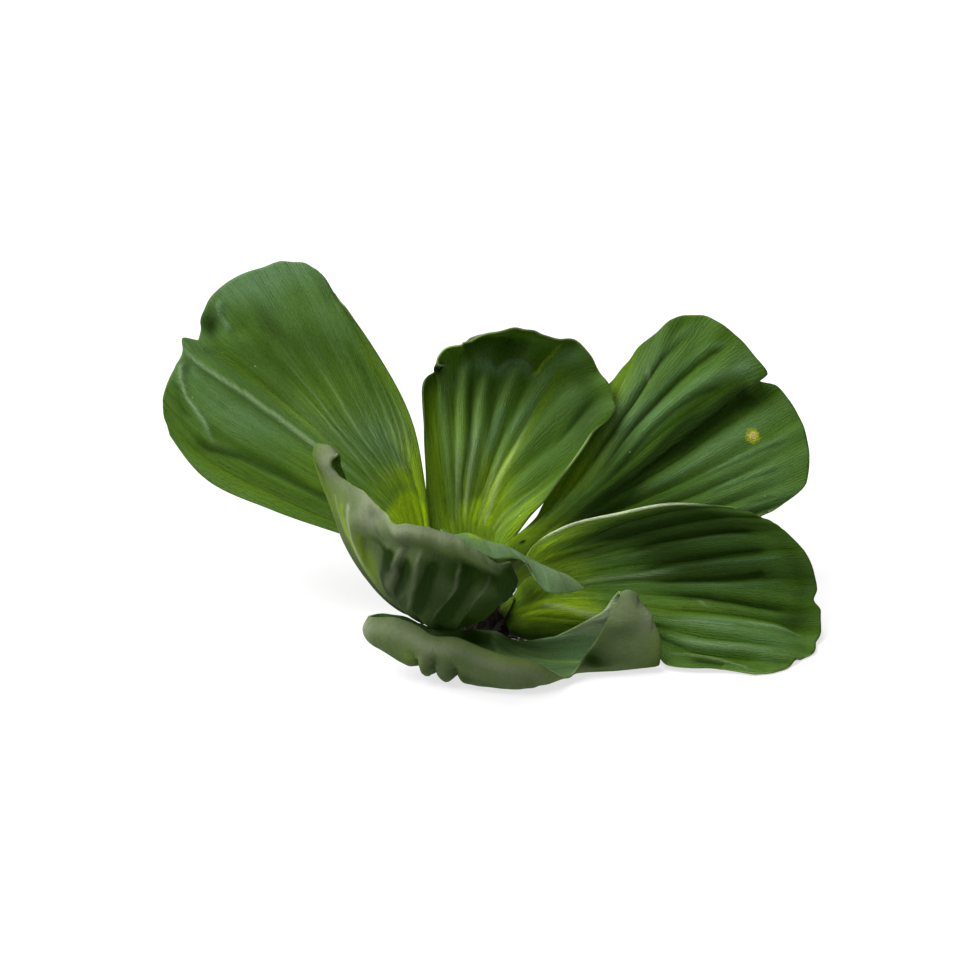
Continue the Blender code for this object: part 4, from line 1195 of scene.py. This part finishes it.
def underside_material(name, leaf_name, settings):
    """Paler underside with raised ribs and a mat of fine veins. On the leaves that are seen from below,
    drawn lines stand for the ribs, with painted highlights along them and painted shade beside them, and
    the patches, most of them painted shade and painted highlights, show at full strength."""
    recipe = Recipe(name)
    seen = leaf_name in LEAVES_SEEN_FROM_BELOW
    patch = recipe.body_noise(*UNDERSIDE_PATCHES)
    veins = vein_lines(recipe, UNDERSIDE_VEINS)
    hollow = darker(settings.underside, 0.65)
    colour = recipe.blend(recipe.spread(patch, 0.3, 0.7), hollow, settings.underside)
    if not seen:
        colour = recipe.blend(recipe.times(recipe.attribute("rib"), 0.6), colour, settings.collar)
    bloom_and_highlight_amount = recipe.times(recipe.attribute("bloom_and_highlight"), 0.8 if seen else 0.3)
    colour = tinted(recipe, colour, settings, settings.collar, bloom_and_highlight_amount, 0.85 if seen else 0.25)
    showing = recipe.spread(recipe.attribute("painted_shade"), 0.0, 1.0, 0.1, 0.02)
    colour = recipe.blend(recipe.times(veins, showing), colour, settings.margin)
    colour = recipe.blend(recipe.attribute("pale_and_highlight"), colour, settings.collar)
    grain = recipe.body_noise(*GRAIN)
    normal = recipe.bump(recipe.plus(recipe.times(veins, 0.5), recipe.times(grain, 0.5)), 0.12 * MM)
    colour = recipe.blend(recipe.spread(grain, 0.3, 0.7, 0.0, 0.2), colour, settings.shade)
    recipe.finish(colour, recipe.spread(grain, 0.2, 0.8, 0.6, 0.8), normal, Specular_IOR_Level=0.04,
                  Sheen_Weight=0.01, Sheen_Roughness=0.45, Sheen_Tint=(0.8, 0.9, 0.7))
    recipe.let_light_through(0.2, recipe.blend(0.6, colour, SHINE_THROUGH), normal)
    return recipe.material


def margin_material(settings):
    """The thin pale margin, a little browned in places, and darkened by painted shade where the leaf's
    painted shade reaches it.
    """
    recipe = Recipe("leaf_margin")
    patch = recipe.body_noise(*MARGIN_PATCHES)
    colour = recipe.blend(recipe.spread(patch, 0.45, 0.7), settings.margin, darker(settings.margin, 0.45))
    colour = recipe.blend(recipe.times(recipe.attribute("painted_shade"), 0.85), colour, settings.shade)
    grain = recipe.body_noise(*MARGIN_GRAIN)
    normal = recipe.bump(grain, 0.1 * MM)
    recipe.finish(colour, recipe.spread(grain, 0.2, 0.8, 0.5, 0.7), normal, Specular_IOR_Level=0.1)
    recipe.let_light_through(0.3, colour, normal)
    return recipe.material


def fibre_material(name, colour, light):
    """Dry brown fibres: long streaks, paler patches and a rough skin."""
    recipe = Recipe(name)
    streak = recipe.body_noise(*FIBRE_STREAKS)
    tone = recipe.blend(recipe.spread(streak, 0.3, 0.7), darker(colour, 0.45), colour)
    tone = recipe.blend(recipe.spread(recipe.body_noise(*FIBRE_PATCHES), 0.5, 0.75), tone, light)
    normal = recipe.bump(streak, 0.4 * MM)
    roughness = recipe.spread(streak, 0.2, 0.8, 0.7, 0.95)
    return recipe.finish(tone, roughness, normal, Specular_IOR_Level=0.25)


# ---------------------------------------------------------------- crown and roots

def crown_parts(settings):
    """The crown: a ridged stub, with dry scales round it, and old leaf bases that stand round it and fill
    the shaded gap between the leaves with dark, as painted shade.
    """
    low, high = (np.array(corner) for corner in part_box("crown"))
    radius = (high[0] - low[0]) / 2
    tall = high[2] - low[2]
    rng = np.random.default_rng(CROWN_SEED)
    turn = np.linspace(0, math.tau, CROWN_SIDES, endpoint=False)
    rings = []
    for share in np.linspace(0, 1, CROWN_LEVELS):
        body = radius * (0.93 - 0.5 * soft_step(share, 0.25, 1.15))
        ridge = 1 + sum(size * np.sin(count * turn + twist * share) for count, twist, size in CROWN_RIDGES)
        rings.append(np.stack([body * ridge * np.cos(turn), body * ridge * np.sin(turn),
                               np.full(CROWN_SIDES, low[2] + tall * share)], axis=1))
    parts = [(np.concatenate(rings), ring_faces(CROWN_LEVELS, CROWN_SIDES))]
    for i in range(settings.scales):
        turn = i * SCALE_TURN + rng.uniform(-0.2, 0.2)
        share = 0.1 + 0.8 * i / max(settings.scales - 1, 1)
        start = np.array([math.cos(turn), math.sin(turn), 0]) * radius * (0.9 - 0.45 * share)
        start[2] = low[2] + tall * share * 0.8
        parts.append(scale_leaf(start, turn, rng.uniform(2.2, 3.6) * MM, rng.uniform(1.4, 2.2) * MM))
    for degrees, height, length, width in OLD_BASES_FOR_SHADE:
        turn = math.radians(degrees)
        start = np.array([math.cos(turn) * radius * 0.85, math.sin(turn) * radius * 0.85, height * MM])
        parts.append(scale_leaf(start, turn, length * MM, width * MM))
    return parts


def scale_leaf(start, turn, length, width):
    """A dry pointed scale that stands out from the crown and curls up."""
    out = np.array([math.cos(turn), math.sin(turn), 0.0])
    side = np.array([-math.sin(turn), math.cos(turn), 0.0])
    verts = []
    for layer in (0.0, SCALE_THICKNESS * MM):
        for share in np.linspace(0, 1, SCALE_STEPS):
            middle = start + out * (length * 0.5 * share + layer) + np.array([0, 0, length * share ** 1.3])
            half = width / 2 * math.sqrt(max(1 - share ** 2, 0.002))
            for across in (-1, 0, 1):
                verts.append(middle + side * half * across - out * 0.25 * half * across ** 2)
    top = SCALE_STEPS * 3
    faces = []
    for a in range(0, top - 3, 3):
        b = top + a
        for i in (0, 1):
            faces.append((a + i, a + i + 3, a + i + 4, a + i + 1))
            faces.append((b + i, b + i + 1, b + i + 4, b + i + 3))
        faces.append((a, b, b + 3, a + 3))
        faces.append((a + 2, a + 5, b + 5, b + 2))
    for i in (0, 1):
        a = top - 3 + i
        faces.append((i, i + 1, top + i + 1, top + i))
        faces.append((a, top + a, top + a + 1, a + 1))
    return np.array(verts), faces


def roots_reach(angle):
    """The radius of the root tuft in a direction, as a share of ROOTS_RADIUS."""
    return 1.0 + sum(size * math.sin(count * angle + phase) for count, size, phase in ROOTS_LOBES)


def root_parts(settings):
    """Root fibres that leave the crown, arch out and lie on the ground inside the tuft's reach."""
    rng = np.random.default_rng(ROOTS_SEED)
    share = np.linspace(0, 1, FIBRE_STEPS)
    parts = []
    for i in range(settings.fibres):
        angle = math.tau * (i * GOLDEN_TURN % 1) + rng.uniform(-0.1, 0.1)
        reach = ROOTS_RADIUS * roots_reach(angle) * math.sqrt(rng.uniform(0.06, 1.0))
        end = np.array(ROOTS_CENTRE) + reach * np.array([math.cos(angle), math.sin(angle)])
        begin_turn = math.atan2(end[1], end[0]) + rng.uniform(-0.5, 0.5)
        begin = np.array([math.cos(begin_turn), math.sin(begin_turn)]) * rng.uniform(1.5, 5.5)
        sway = rng.uniform(-1.4, 1.4) * np.sin(share * math.pi)
        sway += rng.uniform(-0.6, 0.6) * np.sin(share * math.tau * 1.5)
        way = end - begin
        side = np.array([-way[1], way[0]]) / max(np.linalg.norm(way), 1e-6)
        flat = begin + way * share[:, None] + side * (sway * share)[:, None]
        floor_height = rng.uniform(0.45, 2.6)
        z = floor_height + (rng.uniform(5.0, 6.3) - floor_height) * (1 - share) ** rng.uniform(1.4, 2.6)
        z = np.minimum(z, 5.9 - 0.2 * np.linalg.norm(flat, axis=1) * share)
        thick = settings.fibre_thickness / MM / 2 * rng.uniform(0.6, 1.2)
        points = np.column_stack([flat, np.maximum(z, thick + 0.12)])
        parts.append(tube(points * MM, thick * MM * (1 - 0.65 * share), FIBRE_SIDES))
    return parts


# ---------------------------------------------------------------- stage

def add_floor(settings):
    """A plain pale floor that gives off a little light, like a light table."""
    mesh = grid_mesh("floor", 2, 2, settings.floor_size / 2)
    floor = bpy.data.objects.new("floor", mesh)
    bpy.context.scene.collection.objects.link(floor)
    recipe = Recipe("floor_paper")
    grain = recipe.body_noise(*PAPER_GRAIN)
    mesh.materials.append(recipe.finish(settings.floor, 0.9, recipe.bump(grain, 0.05 * MM),
                                        Specular_IOR_Level=0.0, Emission_Color=(1.0, 1.0, 1.0),
                                        Emission_Strength=settings.floor_light))


def add_light(scene, settings):
    """A wide soft key light, a wide fill light, and an even room light."""
    for name, strength, width, way in (
            ("key_light", settings.key_strength, KEY_WIDTH, KEY_DIRECTION),
            ("fill_light", settings.fill_strength, FILL_WIDTH, FILL_DIRECTION)):
        light = bpy.data.lights.new(name, "SUN")
        light.energy = strength
        light.angle = math.radians(width)
        lamp = bpy.data.objects.new(name, light)
        lamp.rotation_euler = Vector(way).to_track_quat("-Z", "Y").to_euler()
        scene.collection.objects.link(lamp)
    world = bpy.data.worlds.new("room")
    world.use_nodes = True
    background = world.node_tree.nodes["Background"]
    background.inputs["Color"].default_value = ROOM_COLOUR
    background.inputs["Strength"].default_value = settings.room_strength
    scene.world = world
    scene.view_settings.view_transform = "Standard"


def add_camera(scene):
    """The camera, at the photograph's viewing angle."""
    tilt = math.radians(CAMERA_TILT)
    camera = bpy.data.cameras.new("camera")
    camera.lens = CAMERA_LENS
    camera.sensor_width = CAMERA_SENSOR
    camera.clip_end = CAMERA_REACH
    eye = bpy.data.objects.new("camera", camera)
    target = Vector(CAMERA_TARGET)
    eye.location = target + Vector((0, -math.cos(tilt), math.sin(tilt))) * CAMERA_DISTANCE
    eye.rotation_euler = (math.radians(90) - tilt, 0, 0)
    scene.collection.objects.link(eye)
    scene.camera = eye


# ---------------------------------------------------------------- operators

def title(name):
    """A leaf's name in words."""
    return name.replace("_", " ").title()


class WATER_LETTUCE_OT_leaf(bpy.types.Operator):
    """Build one leaf over its solid"""

    bl_idname = "water_lettuce.leaf"
    bl_label = "Leaf"

    leaf: EnumProperty(
        name="Leaf", description="The leaf to build",
        items=[(name, title(name), "Build " + name.replace("_", " ")) for name in LEAVES])

    def execute(self, context):
        settings = context.scene.water_lettuce_leaves
        node = self.leaf
        mesh, column, row = leaf_mesh(node, settings.pleat_scale)
        if node == DAMAGED_LEAF:
            mark_damage(mesh)
        mesh.materials.append(upper_material(node + "_upper", node, settings))
        mesh.materials.append(underside_material(node + "_underside", node, settings))
        mesh.materials.append(bpy.data.materials.get("leaf_margin") or margin_material(settings))
        piece = link_piece(node + "_blade", mesh, node)
        thicken(piece, column, row, settings)
        return {"FINISHED"}


class WATER_LETTUCE_OT_crown(bpy.types.Operator):
    """Build the crown with its dry scales"""

    bl_idname = "water_lettuce.crown"
    bl_label = "Crown"

    def execute(self, context):
        settings = context.scene.water_lettuce_crown
        mesh = joined_mesh("crown_stub", crown_parts(settings))
        mesh.materials.append(fibre_material("crown_skin", settings.crown, DRY_CROWN))
        link_piece("crown_stub", mesh, "crown")
        return {"FINISHED"}


class WATER_LETTUCE_OT_roots(bpy.types.Operator):
    """Build the tuft of root fibres"""

    bl_idname = "water_lettuce.roots"
    bl_label = "Roots"

    def execute(self, context):
        settings = context.scene.water_lettuce_crown
        mesh = joined_mesh("root_fibres", root_parts(settings))
        mesh.materials.append(fibre_material("root_skin", settings.root, DRY_ROOT))
        link_piece("root_fibres", mesh, "roots")
        return {"FINISHED"}


class WATER_LETTUCE_OT_stage(bpy.types.Operator):
    """Set up the floor, the light and the camera"""

    bl_idname = "water_lettuce.stage"
    bl_label = "Stage"

    def execute(self, context):
        settings = context.scene.water_lettuce_stage
        add_floor(settings)
        add_light(context.scene, settings)
        add_camera(context.scene)
        return {"FINISHED"}


class WATER_LETTUCE_PT_panel(bpy.types.Panel):
    """Lists the pieces of the plant and the stage"""

    bl_idname = "WATER_LETTUCE_PT_panel"
    bl_label = "Water Lettuce"
    bl_space_type = "VIEW_3D"
    bl_region_type = "UI"
    bl_category = "Plant"

    def draw(self, context):
        layout = self.layout
        for name in LEAVES:
            button = layout.operator("water_lettuce.leaf", text=title(name))
            button.leaf = name
        layout.operator("water_lettuce.crown")
        layout.operator("water_lettuce.roots")
        layout.operator("water_lettuce.stage")
        for group in (context.scene.water_lettuce_leaves, context.scene.water_lettuce_crown,
                      context.scene.water_lettuce_stage):
            column = layout.column()
            for key in group.__annotations__:
                column.prop(group, key)


CLASSES = (LeafSettings, CrownSettings, StageSettings, WATER_LETTUCE_OT_leaf, WATER_LETTUCE_OT_crown,
           WATER_LETTUCE_OT_roots, WATER_LETTUCE_OT_stage, WATER_LETTUCE_PT_panel)


def register():
    """Register the classes and the settings."""
    for cls in CLASSES:
        bpy.utils.register_class(cls)
    bpy.types.Scene.water_lettuce_leaves = PointerProperty(type=LeafSettings)
    bpy.types.Scene.water_lettuce_crown = PointerProperty(type=CrownSettings)
    bpy.types.Scene.water_lettuce_stage = PointerProperty(type=StageSettings)


def unregister():
    """Remove the settings and the classes."""
    del bpy.types.Scene.water_lettuce_stage
    del bpy.types.Scene.water_lettuce_crown
    del bpy.types.Scene.water_lettuce_leaves
    for cls in reversed(CLASSES):
        bpy.utils.unregister_class(cls)


def main():
    """Build the whole plant and its stage."""
    register()
    for name in LEAVES:
        bpy.ops.water_lettuce.leaf(leaf=name)
    bpy.ops.water_lettuce.crown()
    bpy.ops.water_lettuce.roots()
    bpy.ops.water_lettuce.stage()


if __name__ == "__main__":
    main()
